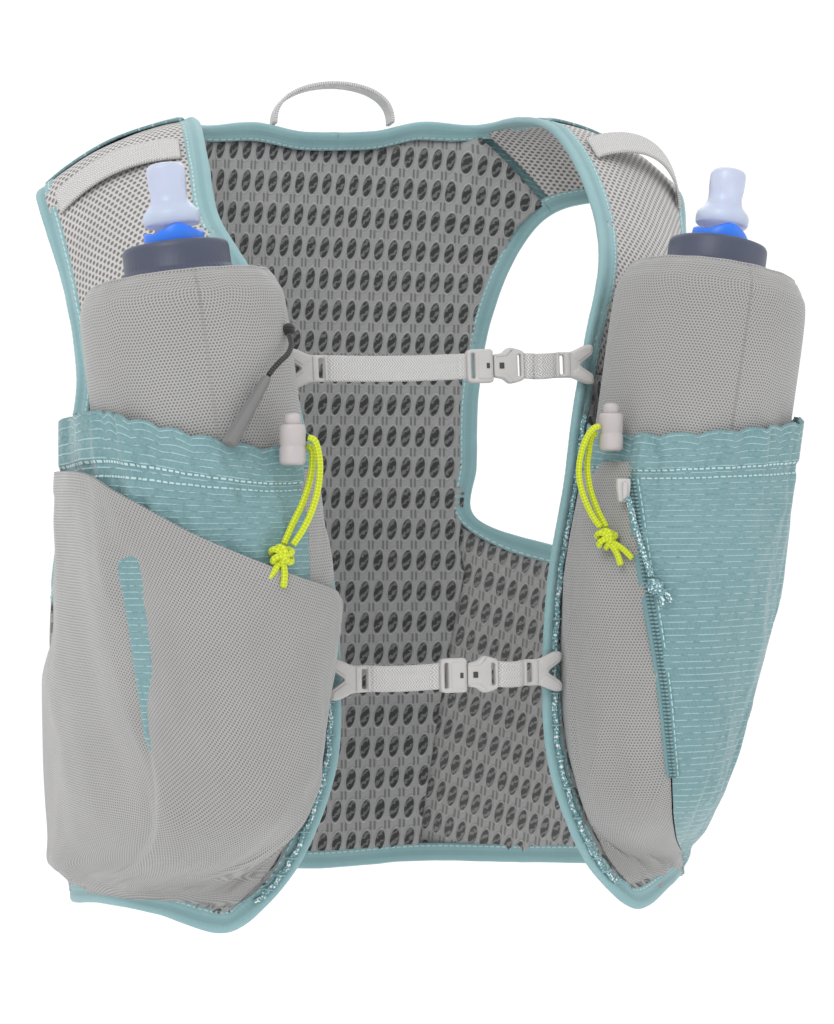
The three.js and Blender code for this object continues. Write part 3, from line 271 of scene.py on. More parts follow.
@lru_cache(maxsize=100000)
def pocket_posts(s, v):
    place = (v - MOUTH_ROW) / (1 - MOUTH_ROW)
    width = strip_width(v)
    inner = (TAPE + POCKET_ROOT) / width
    outer = (TAPE + 1.6) / width
    hidden = mix(outer, 1.4 / width, smooth(*SIDE_EASE, v))
    edge, seam = strip(inner, v), strip(1 - hidden, v)
    corner = smooth(row(10.5), row(12), v)
    root = SPACER_WALL / 2 + RIPSTOP_WALL / 2 + mix(0.1, 1.2, corner)
    root *= 1 - 0.75 * smooth(HEM_ROW - 0.008, HEM_ROW + 0.02, v)
    edge += outward(edge) * root
    seam += outward(seam) * root
    radius = POCKET("radius", place) * FLASK_RADIUS
    axis = FLASK_X + (STRIP("in_z", v) * LENGTH - FLASK_Z) * math.tan(math.radians(LEAN[s]))
    cx = axis + POCKET("out", place) * FLASK_RADIUS
    cy = FLASK_Y + POCKET("back", place) * FLASK_RADIUS
    middle = (edge.z + seam.z) / 2
    turns = [math.radians(a) for a in POCKET_ANGLES]
    ring = [Vector((cx + radius * math.cos(a), cy + radius * math.sin(a), middle)) for a in turns]
    flank = ring[-1].lerp(seam, 0.5)
    flank.x += 0.055 * HALF_WIDTH
    posts = [edge, *ring, flank, seam]
    tucked = smooth(*TUCK, v)
    for k, post in enumerate(posts):
        wall = strip(mix(inner, 1 - hidden, k / (len(posts) - 1)), v)
        posts[k] = post.lerp(wall + outward(wall) * root, tucked)
    return [p.x for p in posts], [p.y for p in posts], posts[0].z, posts[-1].z


def pocket(s, u, v, lift=0.0):
    xs, ys, z0, z1 = pocket_posts(s, round(v, 6))
    x, y = spline(xs, u), spline(ys, u)
    a, b = max(0, u - 0.02), min(1, u + 0.02)
    dx, dy = spline(xs, b) - spline(xs, a), spline(ys, b) - spline(ys, a)
    size = math.hypot(dx, dy)
    return Vector((x + lift * dy / size, y - lift * dx / size, mix(z0, z1, u)))


# Meshes
def obj_of(name, mesh, mat, body=BODY):
    o = bpy.data.objects.new(name + "_visual", mesh)
    bpy.context.scene.collection.objects.link(o)
    if mat is not None:
        o.data.materials.clear()
        o.data.materials.append(mat)
    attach(o, body)
    return o


def mesh_of(name, verts, faces, uvs=None):
    """verts in mm; uvs is one pair for each vertex, in mm."""
    mesh = bpy.data.meshes.new(name)
    mesh.from_pydata([tuple(float(c) * MM for c in v) for v in verts], [], faces)
    if uvs is not None:
        layer = mesh.uv_layers.new(name="UVMap")
        index = np.empty(len(mesh.loops), dtype=np.int32)
        mesh.loops.foreach_get("vertex_index", index)
        layer.data.foreach_set("uv", np.asarray(uvs, dtype=np.float32)[index].ravel())
    mesh.validate()
    mesh.polygons.foreach_set("use_smooth", [True] * len(mesh.polygons))
    mesh.update()
    return mesh


def normals_of(P, loop_u=False):
    du, dv = np.empty_like(P), np.empty_like(P)
    if loop_u:
        du = np.roll(P, -1, 1) - np.roll(P, 1, 1)
    else:
        du[:, 1:-1] = P[:, 2:] - P[:, :-2]
        du[:, 0] = P[:, 1] - P[:, 0]
        du[:, -1] = P[:, -1] - P[:, -2]
    dv[1:-1] = P[2:] - P[:-2]
    dv[0] = P[1] - P[0]
    dv[-1] = P[-1] - P[-2]
    n = np.cross(du, dv)
    n /= np.maximum(np.linalg.norm(n, axis=2, keepdims=True), 1e-9)
    return n


def lengths(P, axis):
    d = np.linalg.norm(np.diff(P, axis=axis), axis=2)
    out = np.zeros(P.shape[:2])
    if axis == 1:
        out[:, 1:] = np.cumsum(d, axis=1)
    else:
        out[1:] = np.cumsum(d, axis=0)
    return out


def cloth(
    name, fn, nu, nv, thick, mat, relief=None, keep=None, loop_u=False, look=None, uv=None,
    lift=0.0, nodes=(),
):
    """A wall of cloth over fn(u, v), in mm. relief(u, v, a, b) pushes it out, with a and b the
    lengths across and down; look is the way that its outer face looks."""
    cols = nu if loop_u else nu + 1

    def grid(value):
        return np.array([[value(i, j) for i in range(cols)] for j in range(nv + 1)], dtype=float)

    P = grid(lambda i, j: fn(i / nu, j / nv))
    a, b = lengths(P, 1), lengths(P, 0)
    n = normals_of(P, loop_u)
    way = look(P) if look else P / np.array([HALF_WIDTH**2, HALF_DEPTH**2, 1e9])
    flip = np.sum(n * way) < 0
    if flip:
        n = -n
    if relief:
        h = grid(lambda i, j: relief(i / nu, j / nv, a[j, i], b[j, i]))
        P = P + n * h[..., None]
        n = normals_of(P, loop_u) * (-1 if flip else 1)
    if lift:
        P = P + n * lift
    U = a - a[:, cols // 2][:, None]
    V = b
    if uv:
        pairs = grid(lambda i, j: uv(i / nu, j / nv, P[j, i], U[j, i], V[j, i]))
        U, V = pairs[..., 0], pairs[..., 1]
    outer, inner = P + n * thick / 2, P - n * thick / 2
    verts = np.concatenate([outer.reshape(-1, 3), inner.reshape(-1, 3)])
    uvs = np.tile(np.stack([U.ravel(), V.ravel()], 1), (2, 1))
    other = cols * (nv + 1)
    faces = []

    def at(i, j):
        return j * cols + (i % cols if loop_u else i)

    def kept(i, j):
        inside = (0 <= i < nu or loop_u) and 0 <= j < nv
        return inside and (keep is None or keep((i % nu + 0.5) / nu, (j + 0.5) / nv))

    def quad(p, q, r, s):
        faces.append((s, r, q, p) if flip else (p, q, r, s))

    for j in range(nv):
        for i in range(nu):
            if not kept(i, j):
                continue
            p, q, r, s = at(i, j), at(i + 1, j), at(i + 1, j + 1), at(i, j + 1)
            quad(p, q, r, s)
            quad(other + s, other + r, other + q, other + p)
            if not kept(i, j - 1):
                quad(q, p, other + p, other + q)
            if not kept(i + 1, j):
                quad(r, q, other + q, other + r)
            if not kept(i, j + 1):
                quad(s, r, other + r, other + s)
            if not kept(i - 1, j):
                quad(p, s, other + s, other + p)
    used = sorted({k for f in faces for k in f})
    renumber = {k: m for m, k in enumerate(used)}
    faces = [tuple(renumber[k] for k in f) for f in faces]
    o = obj_of(name, mesh_of(name, verts[used], faces, uvs[used]), mat)
    if nodes:
        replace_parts(o, *nodes)
    o["flat_w"] = float(a[:, -1].mean()) * (nu / (nu - 1) if loop_u else 1)
    o["flat_l"] = float(b[-1].mean())
    quads = np.cross(P[1:, 1:] - P[:-1, :-1], P[1:, :-1] - P[:-1, 1:])
    o["mid_area"] = float(np.sum(np.linalg.norm(quads, axis=2)) / 2)
    return o


class Curve:
    """Centripetal Catmull-Rom through points, closed or open."""

    def __init__(self, points, closed=False):
        self.p = [Vector(p) for p in points]
        self.closed = closed

    def get(self, t):
        n = len(self.p)
        at = (n if self.closed else n - 1) * t
        i = int(math.floor(at))
        w = at - i
        if self.closed:
            i %= n
            q = [self.p[(i + k) % n] for k in (-1, 0, 1, 2)]
        else:
            if i >= n - 1:
                i, w = n - 2, 1.0
            q = [
                self.p[i - 1] if i > 0 else self.p[0] * 2 - self.p[1],
                self.p[i],
                self.p[i + 1],
                self.p[i + 2] if i + 2 < n else self.p[-1] * 2 - self.p[-2],
            ]
        d = [max((q[k + 1] - q[k]).length ** 0.5, 1e-4) for k in range(3)]
        m1 = ((q[1] - q[0]) / d[0] - (q[2] - q[0]) / (d[0] + d[1]) + (q[2] - q[1]) / d[1]) * d[1]
        m2 = ((q[2] - q[1]) / d[1] - (q[3] - q[1]) / (d[1] + d[2]) + (q[3] - q[2]) / d[2]) * d[1]
        a, b = q[1], q[2]
        return (
            a
            + m1 * w
            + (-3 * a + 3 * b - 2 * m1 - m2) * w**2
            + (2 * a - 2 * b + m1 + m2) * w**3
        )

    def even(self, steps):
        fine = [self.get(k / 400) for k in range(401)]
        total = [0.0]
        for a, b in zip(fine, fine[1:]):
            total.append(total[-1] + (b - a).length)
        out = []
        k = 0
        for m in range(steps + 1):
            want = total[-1] * m / steps
            while k < 399 and total[k + 1] < want:
                k += 1
            span = total[k + 1] - total[k]
            out.append(fine[k].lerp(fine[k + 1], clamp((want - total[k]) / max(span, 1e-9))))
        return out


def tube(name, points, diameter, mat, sides=12):
    """A round cord through even points in mm, with capped ends."""
    pts = [Vector(p) for p in points]
    frames = []
    tangent = (pts[1] - pts[0]).normalized()
    ref = Vector((0, 0, 1)) if abs(tangent.z) < 0.9 else Vector((1, 0, 0))
    normal = tangent.cross(ref).normalized()
    for k, p in enumerate(pts):
        t = (pts[min(k + 1, len(pts) - 1)] - pts[max(k - 1, 0)]).normalized()
        normal = (normal - t * normal.dot(t)).normalized()
        frames.append((p, normal.copy(), t.cross(normal), t))
    verts, uvs, faces = [], [], []
    run = 0.0
    r = diameter / 2
    shoulder, tip = 0.88, 0.55  # shares of the radius in the two rings of a rounded end
    p, n, b, t = frames[0]
    rings = [(p, n, b, tip), (p + t * r * 0.12, n, b, shoulder)]
    rings += [(p, n, b, 1.0) for p, n, b, t in frames[1:-1]]
    p, n, b, t = frames[-1]
    rings += [(p - t * r * 0.12, n, b, shoulder), (p, n, b, tip)]
    for k, (p, n, b, scale) in enumerate(rings):
        if k:
            run += (p - rings[k - 1][0]).length
        for m in range(sides + 1):
            angle = 2 * math.pi * m / sides
            verts.append(p + (n * math.cos(angle) + b * math.sin(angle)) * (r * scale))
            uvs.append((r * angle, run))
    w = sides + 1
    for k in range(len(rings) - 1):
        for m in range(sides):
            faces.append((k * w + m, k * w + m + 1, (k + 1) * w + m + 1, (k + 1) * w + m))
    first, last = len(verts), len(verts) + 1
    verts += [rings[0][0], rings[-1][0]]
    uvs += [(0, 0), (0, run)]
    end = (len(rings) - 1) * w
    for m in range(sides):
        faces.append((first, m + 1, m))
        faces.append((last, end + m, end + m + 1))
    return obj_of(name, mesh_of(name, verts, faces, uvs), mat)


def turned(name, rows, sides, mat, matrix, shape=None, body=BODY):
    """A turned solid about Z from (radius, height) rows, closed where the rows close."""
    verts, uvs, faces = [], [], []
    run = 0.0
    for k, (radius, z) in enumerate(rows):
        if k:
            run += math.hypot(radius - rows[k - 1][0], z - rows[k - 1][1])
        for m in range(sides):
            angle = 2 * math.pi * m / sides
            rr, zz = (radius, z) if shape is None else shape(radius, z, angle, k)
            verts.append(matrix @ Vector((rr * math.cos(angle), rr * math.sin(angle), zz)))
            uvs.append((max(radius, 1) * angle, run))
    for k in range(len(rows) - 1):
        for m in range(sides):
            a, b = k * sides + m, k * sides + (m + 1) % sides
            faces.append((a, b, b + sides, a + sides))
    return obj_of(name, mesh_of(name, verts, faces, uvs), mat, body)


def merge(o, distance=1e-6):
    import bmesh

    bm = bmesh.new()
    bm.from_mesh(o.data)
    bmesh.ops.remove_doubles(bm, verts=bm.verts, dist=distance)
    bmesh.ops.dissolve_degenerate(bm, dist=distance, edges=bm.edges)
    bmesh.ops.recalc_face_normals(bm, faces=bm.faces)
    bm.to_mesh(o.data)
    bm.free()
    return o


def join(name, objects):
    """One piece out of several, each with its own material."""
    keep = objects[0]
    with bpy.context.temp_override(
        active_object=keep, selected_editable_objects=objects, object=keep
    ):
        bpy.ops.object.join()
    keep.name = name + "_visual"
    return keep


def plate(name, outline, thickness, mat, matrix, holes=(), bevel=0.5):
    """A plate with rounded edges from outlines in the piece's own X and Z, centred on Y."""
    curve = bpy.data.curves.new(name, "CURVE")
    curve.dimensions = "2D"
    curve.fill_mode = "BOTH"
    for loop in [outline, *holes]:
        sp = curve.splines.new("POLY")
        sp.points.add(len(loop) - 1)
        for k, (x, z) in enumerate(loop):
            sp.points[k].co = (x, z, 0, 1)
        sp.use_cyclic_u = True
    curve.extrude = thickness / 2 - bevel
    curve.bevel_depth = bevel
    curve.bevel_resolution = 2
    curve.offset = -bevel
    temp = bpy.data.objects.new(name, curve)
    bpy.context.scene.collection.objects.link(temp)
    dg = bpy.context.evaluated_depsgraph_get()
    mesh = bpy.data.meshes.new_from_object(temp.evaluated_get(dg))
    bpy.data.objects.remove(temp)
    bpy.data.curves.remove(curve)
    turn = matrix @ Matrix.Rotation(math.pi / 2, 4, "X")
    mesh.transform(Matrix.Scale(MM, 4) @ turn)
    for layer in list(mesh.uv_layers):
        mesh.uv_layers.remove(layer)
    layer = mesh.uv_layers.new(name="UVMap")
    for poly in mesh.polygons:
        for li in poly.loop_indices:
            co = mesh.vertices[mesh.loops[li].vertex_index].co
            layer.data[li].uv = (co.x / MM, co.z / MM)
    o = obj_of(name, mesh, mat)
    merge(o)
    soften(o, 35)
    return o


def soften(o, degrees=40):
    o.data.polygons.foreach_set("use_smooth", [True] * len(o.data.polygons))
    o.data.set_sharp_from_angle(angle=math.radians(degrees))


CORNER_STEPS = 4


def rounded(points, radius):
    """An outline with each corner rounded."""
    out = []
    n = len(points)
    for k in range(n):
        p = Vector(points[k])
        a, b = Vector(points[k - 1]), Vector(points[(k + 1) % n])
        ra = min(radius, (a - p).length * 0.48)
        rb = min(radius, (b - p).length * 0.48)
        s, e = p + (a - p).normalized() * ra, p + (b - p).normalized() * rb
        for m in range(CORNER_STEPS + 1):
            t = m / CORNER_STEPS
            q = s * (1 - t) ** 2 + p * (2 * t * (1 - t)) + e * t**2
            out.append((q.x, q.y))
    return out


# Materials: patterns are in millimetres of cloth, from the UV map
def srgb(r, g, b):
    f = lambda c: c / 12.92 if c <= 0.04045 else ((c + 0.055) / 1.055) ** 2.4
    return (f(r / 255), f(g / 255), f(b / 255), 1)


class Look:
    def __init__(self, name, colour, rough=0.8, **sockets):
        self.m = bpy.data.materials.new(name)
        self.m.use_nodes = True
        self.t = self.m.node_tree
        self.b = next(n for n in self.t.nodes if n.type == "BSDF_PRINCIPLED")
        self.b.inputs["Base Color"].default_value = srgb(*colour)
        self.b.inputs["Roughness"].default_value = rough
        for k, v in sockets.items():
            self.b.inputs[k.replace("_", " ")].default_value = v
        self._xy = None

    def put(self, value, socket):
        if hasattr(value, "links") or isinstance(value, bpy.types.NodeSocket):
            self.t.links.new(value, socket)
        else:
            socket.default_value = value

    def op(self, kind, a, b=None, c=None):
        n = self.t.nodes.new("ShaderNodeMath")
        n.operation = kind
        for k, v in enumerate((a, b, c)):
            if v is not None:
                self.put(v, n.inputs[k])
        return n.outputs[0]

    def xy(self):
        if self._xy is None:
            n = self.t.nodes.new("ShaderNodeUVMap")
            n.uv_map = "UVMap"
            s = self.t.nodes.new("ShaderNodeSeparateXYZ")
            self.t.links.new(n.outputs[0], s.inputs[0])
            self._xy = (s.outputs[0], s.outputs[1])
        return self._xy

    def noise(self, scale, detail=2, place=None, stretch=None):
        n = self.t.nodes.new("ShaderNodeTexNoise")
        n.inputs["Scale"].default_value = scale
        n.inputs["Detail"].default_value = detail
        if place is None:
            c = self.t.nodes.new("ShaderNodeTexCoord").outputs["Object"]
        else:
            c = place
        if stretch:
            m = self.t.nodes.new("ShaderNodeMapping")
            m.inputs["Scale"].default_value = stretch
            self.t.links.new(c, m.inputs["Vector"])
            c = m.outputs[0]
        self.t.links.new(c, n.inputs["Vector"])
        return n.outputs[0]

    def uv_vector(self):
        n = self.t.nodes.new("ShaderNodeUVMap")
        n.uv_map = "UVMap"
        return n.outputs[0]

    def ramp(self, value, a, b, lo=0.0, hi=1.0):
        n = self.t.nodes.new("ShaderNodeMapRange")
        n.interpolation_type = "SMOOTHSTEP"
        self.put(value, n.inputs[0])
        for k, v in enumerate((a, b, lo, hi)):
            n.inputs[k + 1].default_value = v
        return n.outputs[0]

    def blend(self, share, a, b):
        n = self.t.nodes.new("ShaderNodeMix")
        n.data_type = "RGBA"
        self.put(share, n.inputs[0])
        self.put(srgb(*a) if isinstance(a, tuple) else a, n.inputs[6])
        self.put(srgb(*b) if isinstance(b, tuple) else b, n.inputs[7])
        return n.outputs[2]

    def colour(self, value):
        self.put(value, self.b.inputs["Base Color"])

    def bump(self, height, distance, strength=0.7):
        n = self.t.nodes.new("ShaderNodeBump")
        n.inputs["Strength"].default_value = strength
        n.inputs["Distance"].default_value = distance
        self.put(height, n.inputs["Height"])
        self.t.links.new(n.outputs[0], self.b.inputs["Normal"])

    def cell(self, x, pitch, shift=0.0):
        """Distance in mm from the middle of the cell that x lies in, with its sign."""
        moved = self.op("ADD", x, shift)
        return self.op("SUBTRACT", self.op("FLOORED_MODULO", moved, pitch), pitch / 2)

    def length(self, a, b):
        squares = self.op("ADD", self.op("MULTIPLY", a, a), self.op("MULTIPLY", b, b))
        return self.op("SQRT", squares)

    def dots(self, x, y, pitch):
        tall = pitch * 1.732
        one = self.length(self.cell(x, pitch), self.cell(y, tall))
        two = self.length(self.cell(x, pitch, pitch / 2), self.cell(y, tall, tall / 2))
        return self.op("MINIMUM", one, two)

    def dashes(self, across, along, at, pitch=2.8, half=0.32, share=0.62):
        """1 on a row of stitches at a distance across, 0 elsewhere."""
        off = self.op("ABSOLUTE", self.op("SUBTRACT", across, at))
        row = self.ramp(off, half, half + 0.2, 1, 0)
        step = self.op("ABSOLUTE", self.cell(along, pitch))
        end = pitch * share / 2
        return self.op("MULTIPLY", row, self.ramp(step, end, end + 0.2, 1, 0))


def spacer_look(name, px, hole_shade, cloth_colour, rim, threads):
    """Leaning oval holes px apart, with the crossed threads of the inner face in them; the dark round those threads in
    the holes, and in the small slits, is painted shade.
    """
    L = Look(name, cloth_colour, 0.9, Sheen_Weight=0.25)
    x, y = L.xy()
    q, lean = 15.3, 0.16  # rows of holes in mm, and how far a hole leans
    oy = L.cell(y, q)
    ox = L.op("SUBTRACT", L.cell(x, px), L.op("MULTIPLY", oy, lean))
    r = L.length(L.op("DIVIDE", ox, px * 0.33), L.op("DIVIDE", oy, 5.3))
    hole = L.ramp(r, 0.86, 1.0, 1, 0)
    lip = L.op("MULTIPLY", L.ramp(r, 0.98, 1.06, 0, 1), L.ramp(r, 1.08, 1.24, 1, 0))
    knot_noise = L.noise(0.55, 2, L.uv_vector())
    slanted = L.op("MULTIPLY", L.op("SUBTRACT", oy, ox), 1.25)
    strand = L.op("SINE", L.op("ADD", slanted, L.op("MULTIPLY", knot_noise, 7.0)))
    inner = L.ramp(strand, 0.1, 0.75, 0, 1)
    sx = L.op("ABSOLUTE", L.cell(x, px, px / 2))
    sy = L.op("ABSOLUTE", L.cell(y, q, q / 2))
    slit = L.op(
        "MULTIPLY",
        L.ramp(L.op("ABSOLUTE", L.op("SUBTRACT", sx, 0.95)), 0.3, 0.6, 1, 0),
        L.ramp(sy, 1.6, 2.4, 1, 0),
    )
    knit = L.dots(x, y, 0.9)
    grain = L.ramp(knit, 0.15, 0.42, 0.0, 1.0)
    darker = tuple(int(c * 0.86) for c in cloth_colour)
    base = L.blend(L.op("MULTIPLY", grain, 0.6), darker, cloth_colour)
    base = L.blend(L.op("MULTIPLY", lip, 0.6), base, rim)
    # Painted shade: the slits and the depth of each hole are darkened; the threads in the holes keep the inner face's
    # own colour.
    base = L.blend(L.op("MULTIPLY", slit, 0.5), base, hole_shade)
    inside = L.blend(inner, hole_shade, threads)
    L.colour(L.blend(hole, base, inside))
    sunk = L.op("MAXIMUM", hole, L.op("MULTIPLY", slit, 0.5))
    shape = L.op("SUBTRACT", lip, L.op("MULTIPLY", sunk, 1.6))
    L.bump(L.op("ADD", shape, L.op("MULTIPLY", grain, 0.15)), 0.0009, 0.8)
    return L.m


def net_look():
    L = Look("strap_net", (207, 203, 200), 0.85, Sheen_Weight=0.2)
    x, y = L.xy()
    d = L.dots(x, y, 2.7)
    hole = L.ramp(d, 0.62, 0.95, 1, 0)
    # Painted shade: the holes of the net take a dark grey.
    L.colour(L.blend(hole, L.blend(L.noise(60), (196, 193, 191), (178, 175, 173)), (112, 110, 109)))
    L.bump(L.op("SUBTRACT", 1.0, hole), 0.0008, 0.8)
    return L.m


def stretch_look():
    L = Look("stretch_mesh", (180, 178, 177), 0.88, Sheen_Weight=0.3)
    x, y = L.xy()
    d = L.dots(x, y, 1.25)
    hole = L.ramp(d, 0.22, 0.46, 1, 0)
    base = L.blend(L.noise(25), (166, 165, 164), (150, 149, 148))
    # Painted shade: the holes of the mesh take a dark grey.
    L.colour(L.blend(L.op("MULTIPLY", hole, 0.75), base, (78, 77, 79)))
    L.bump(L.op("SUBTRACT", 1.0, hole), 0.0004, 0.6)
    return L.m


def ripstop_look(name="ripstop", seams=()):
    L = Look(name, (127, 181, 181), 0.6, Sheen_Weight=0.2)
    x, y = L.xy()
    line = L.ramp(L.op("ABSOLUTE", L.cell(y, 2.5)), 0.12, 0.32, 1, 0)
    broken = L.ramp(L.noise(0.55, 3, L.uv_vector(), (0.35, 1.7, 1)), 0.4, 0.52)
    hexes = L.ramp(L.dots(x, y, 2.5), 1.05, 1.3, 0, 1)
    # Painted shade: the darker broad patches of this noise stand in for the shade of the cloth's folds.
    base = L.blend(L.noise(18, 4), (92, 128, 133), (112, 148, 152))
    base = L.blend(L.op("MULTIPLY", hexes, 0.3), base, (132, 166, 170))
    base = L.blend(L.op("MULTIPLY", L.op("MULTIPLY", line, broken), 0.75), base, (164, 196, 198))
    for at in seams:
        # Painted shade: the cloth is darkened along each seam line, where the gathered cloth is pinched in; the dashes
        # are its stitches.
        groove_shade = L.ramp(L.op("ABSOLUTE", L.op("SUBTRACT", y, at)), 0.2, 1.0, 1, 0)
        base = L.blend(L.op("MULTIPLY", groove_shade, 0.45), base, (70, 104, 110))
        base = L.blend(L.dashes(y, x, at, 2.9, 0.24), base, (178, 206, 208))
    L.colour(base)
    crumple = L.op("ADD", L.op("MULTIPLY", L.noise(26, 5), 3.0), L.noise(110, 3))
    L.bump(L.op("ADD", crumple, L.op("MULTIPLY", line, 0.1)), 0.003, 0.75)
    return L.m


def tape_look():
    L = Look("tape", (160, 208, 208), 0.75, Sheen_Weight=0.25)
    x, y = L.xy()
    rib = L.ramp(L.op("ABSOLUTE", L.cell(y, 0.7)), 0.1, 0.3, 1, 0)
    stitch = L.dashes(x, y, 7.7, 2.9, 0.26)
    # Painted shade: the tape is darkened along its hollow, 4.3 mm in from the fold, where the profile dips.
    hollow_shade = L.ramp(L.op("ABSOLUTE", L.op("SUBTRACT", x, 4.3)), 0.8, 1.8, 1, 0)
    base = L.blend(L.noise(30, 3), (120, 158, 162), (144, 180, 184))
    base = L.blend(L.op("MULTIPLY", hollow_shade, 0.25), base, (88, 126, 131))
    L.colour(L.blend(L.op("MULTIPLY", stitch, 0.8), base, (190, 214, 216)))
    L.bump(L.op("ADD", L.op("MULTIPLY", rib, 0.3), L.op("MULTIPLY", stitch, 1.0)), 0.0005, 0.6)
    return L.m


def zip_look():
    L = Look("zip_tape", (112, 166, 168), 0.7, Sheen_Weight=0.2)
    x, y = L.xy()
    coil = L.ramp(L.op("ABSOLUTE", L.op("SUBTRACT", x, 3.9)), 1.5, 1.8, 1, 0)
    tooth = L.ramp(L.op("ABSOLUTE", L.cell(y, 1.5)), 0.25, 0.5, 1, 0)
    stitch = L.dashes(x, y, 7.6, 2.9, 0.26)
    base = L.blend(L.noise(30, 3), (92, 128, 133), (108, 144, 148))
    base = L.blend(coil, base, L.blend(tooth, (60, 92, 98), (120, 154, 158)))
    L.colour(L.blend(L.op("MULTIPLY", stitch, 0.8), base, (180, 218, 217)))
    L.bump(L.op("ADD", L.op("MULTIPLY", tooth, coil), stitch), 0.0005, 0.6)
    return L.m


def webbing_look():
    L = Look("webbing", (201, 200, 199), 0.8, Sheen_Weight=0.2)
    x, y = L.xy()
    zig = L.op("ABSOLUTE", L.cell(x, 3.4))
    bar = L.cell(L.op("ADD", y, L.op("MULTIPLY", zig, 0.9)), 1.1)
    thread = L.ramp(L.op("ABSOLUTE", bar), 0.12, 0.42, 1, 0)
    L.colour(L.blend(thread, (176, 175, 174), (214, 213, 212)))
    L.bump(thread, 0.0004, 0.8)
    return L.m


def braid_of(L, turn):
    x, y = L.xy()
    one = L.op("SINE", L.op("MULTIPLY", L.op("ADD", x, y), turn))
    two = L.op("SINE", L.op("MULTIPLY", L.op("SUBTRACT", x, y), turn))
    return L.op("MULTIPLY", one, two)


def braid_look(name, a, b):
    L = Look(name, a, 0.75, Sheen_Weight=0.2)
    weave = braid_of(L, 2.6)
    L.colour(L.blend(L.ramp(weave, -0.5, 0.6), b, a))
    L.bump(weave, 0.0003, 0.7)
    return L.m


def fleck_look():
    L = Look("flecked_cord", (205, 214, 214), 0.75)
    weave = braid_of(L, 2.4)
    fleck = L.ramp(L.noise(0.9, 1, L.uv_vector()), 0.55, 0.6)
    strands = L.blend(L.ramp(weave, -0.5, 0.5), (82, 128, 136), (120, 160, 166))
    L.colour(L.blend(fleck, strands, (222, 230, 230)))
    L.bump(weave, 0.0003, 0.7)
    return L.m


def hard_look(name, colour, rough, **sockets):
    L = Look(name, colour, rough, **sockets)
    worn = tuple(min(255, int(c * 1.05) + 3) for c in colour)
    L.colour(L.blend(L.noise(140, 3), colour, worn))
    L.bump(L.noise(900, 2), 0.0001, 0.4)
    return L.m


# The third colour of each is the painted shade in the holes and slits.
BACK_MESH = spacer_look("back_mesh", 7.0, (50, 50, 51), (166, 166, 166), (190, 190, 190), (108, 108, 109))
SIDE_MESH = spacer_look("side_mesh", 6.0, (76, 76, 77), (172, 171, 170), (196, 195, 194), (128, 128, 128))
NET, STRETCH, RIPSTOP, TAPE_CLOTH = net_look(), stretch_look(), ripstop_look(), tape_look()
WEB, ZIP_CLOTH = webbing_look(), zip_look()
POCKET_CLOTH = ripstop_look("pocket_ripstop", (14.6, 18.6))
PLASTIC = hard_look("fitting", (178, 176, 174), 0.42)
LOCK_PLASTIC = hard_look("cord_lock", (169, 163, 163), 0.45)
CAP = hard_look("cap", (62, 68, 88), 0.45)
BLUE = hard_look("collar", (30, 110, 220), 0.35)
VALVE = hard_look("valve", (197, 208, 230), 0.3, Transmission_Weight=0.35, Subsurface_Weight=0.2)
FLASK = hard_look("flask", (214, 224, 234), 0.35, Transmission_Weight=0.4)
GRIP = hard_look("grip", (107, 107, 107), 0.65)
BLACK = braid_look("black_cord", (40, 40, 41), (18, 18, 18))
LIME = braid_look("draw_cord", (212, 226, 34), (178, 192, 16))
FLECK = fleck_look()
SHADOW = hard_look("window", (58, 58, 60), 0.7)


# Free cords, straight after the camera: routes in mm along the photograph's lines
ROUTES = {
    "draw_cord_l_front": (
        (-70.2, -156.6, -149.4), (-68, -157, -150.2), (-66.4, -157.2, -154.6), (-65.8, -157, -161),
        (-66.8, -157, -169), (-69.4, -157.2, -177), (-72.6, -157.6, -183), (-76, -158, -187.8),
    ),
    "draw_cord_l_rear": (
        (-70.2, -153.8, -152.4), (-68.4, -153.9, -153), (-67.8, -153.7, -158), (-68.8, -153.8, -165),
        (-71.6, -154.2, -173), (-75.2, -155, -180), (-79, -156.6, -187.6),
    ),
    "draw_cord_r_front": (
        (50.2, -135.6, -142.2), (47.6, -135.9, -143), (44.6, -135.6, -147), (42.4, -135.2, -154),
        (41.8, -135.2, -161.5), (43.6, -136, -170), (46.8, -137.4, -177.4), (49.4, -138.6, -181.3),
    ),
    "draw_cord_r_rear": (
        (50.2, -132.8, -145), (48.4, -132.6, -145.8), (47, -132.3, -152), (46.4, -132.3, -158),
        (47.2, -133.1, -166), (49.4, -135.4, -174.6), (52, -138, -181.3),
    ),
    "zip_cord": (
        (57.6, -145.3, -169.6), (58.4, -146.2, -173.4), (59.6, -147.6, -180),
        (61.2, -149.8, -188), (62.8, -151.8, -195), (64.1, -153.3, -200.1),
    ),
    "pull_cord": (
        (-72.5, -136.8, -110.7), (-72.8, -141.4, -114.8), (-75, -145.2, -118.6),
        (-78.4, -148, -121.6), (-81.6, -150.2, -124.8), (-83.6, -151.6, -127.2),
    ),
}
KNOTS = {
    "draw_knot_l": ((-80, -158.2, -191.6), (5.2, 3, 3.9), ((-85.6, -159.4, -200.4), (-79.8, -160, -203)), 2.4),
    "draw_knot_r": ((51.4, -139.4, -185.6), (5.2, 3, 3.9), ((58.6, -147.6, -193), (54.6, -146, -195.6)), 2.4),
    "zip_knot": ((65, -154.2, -203.4), (3.4, 2.6, 3.3), ((67, -156.8, -211), (70.4, -157.4, -209.4)), 2.2),
}
CORD_SIZES = {"zip_cord": 2.2, "pull_cord": 2.0}


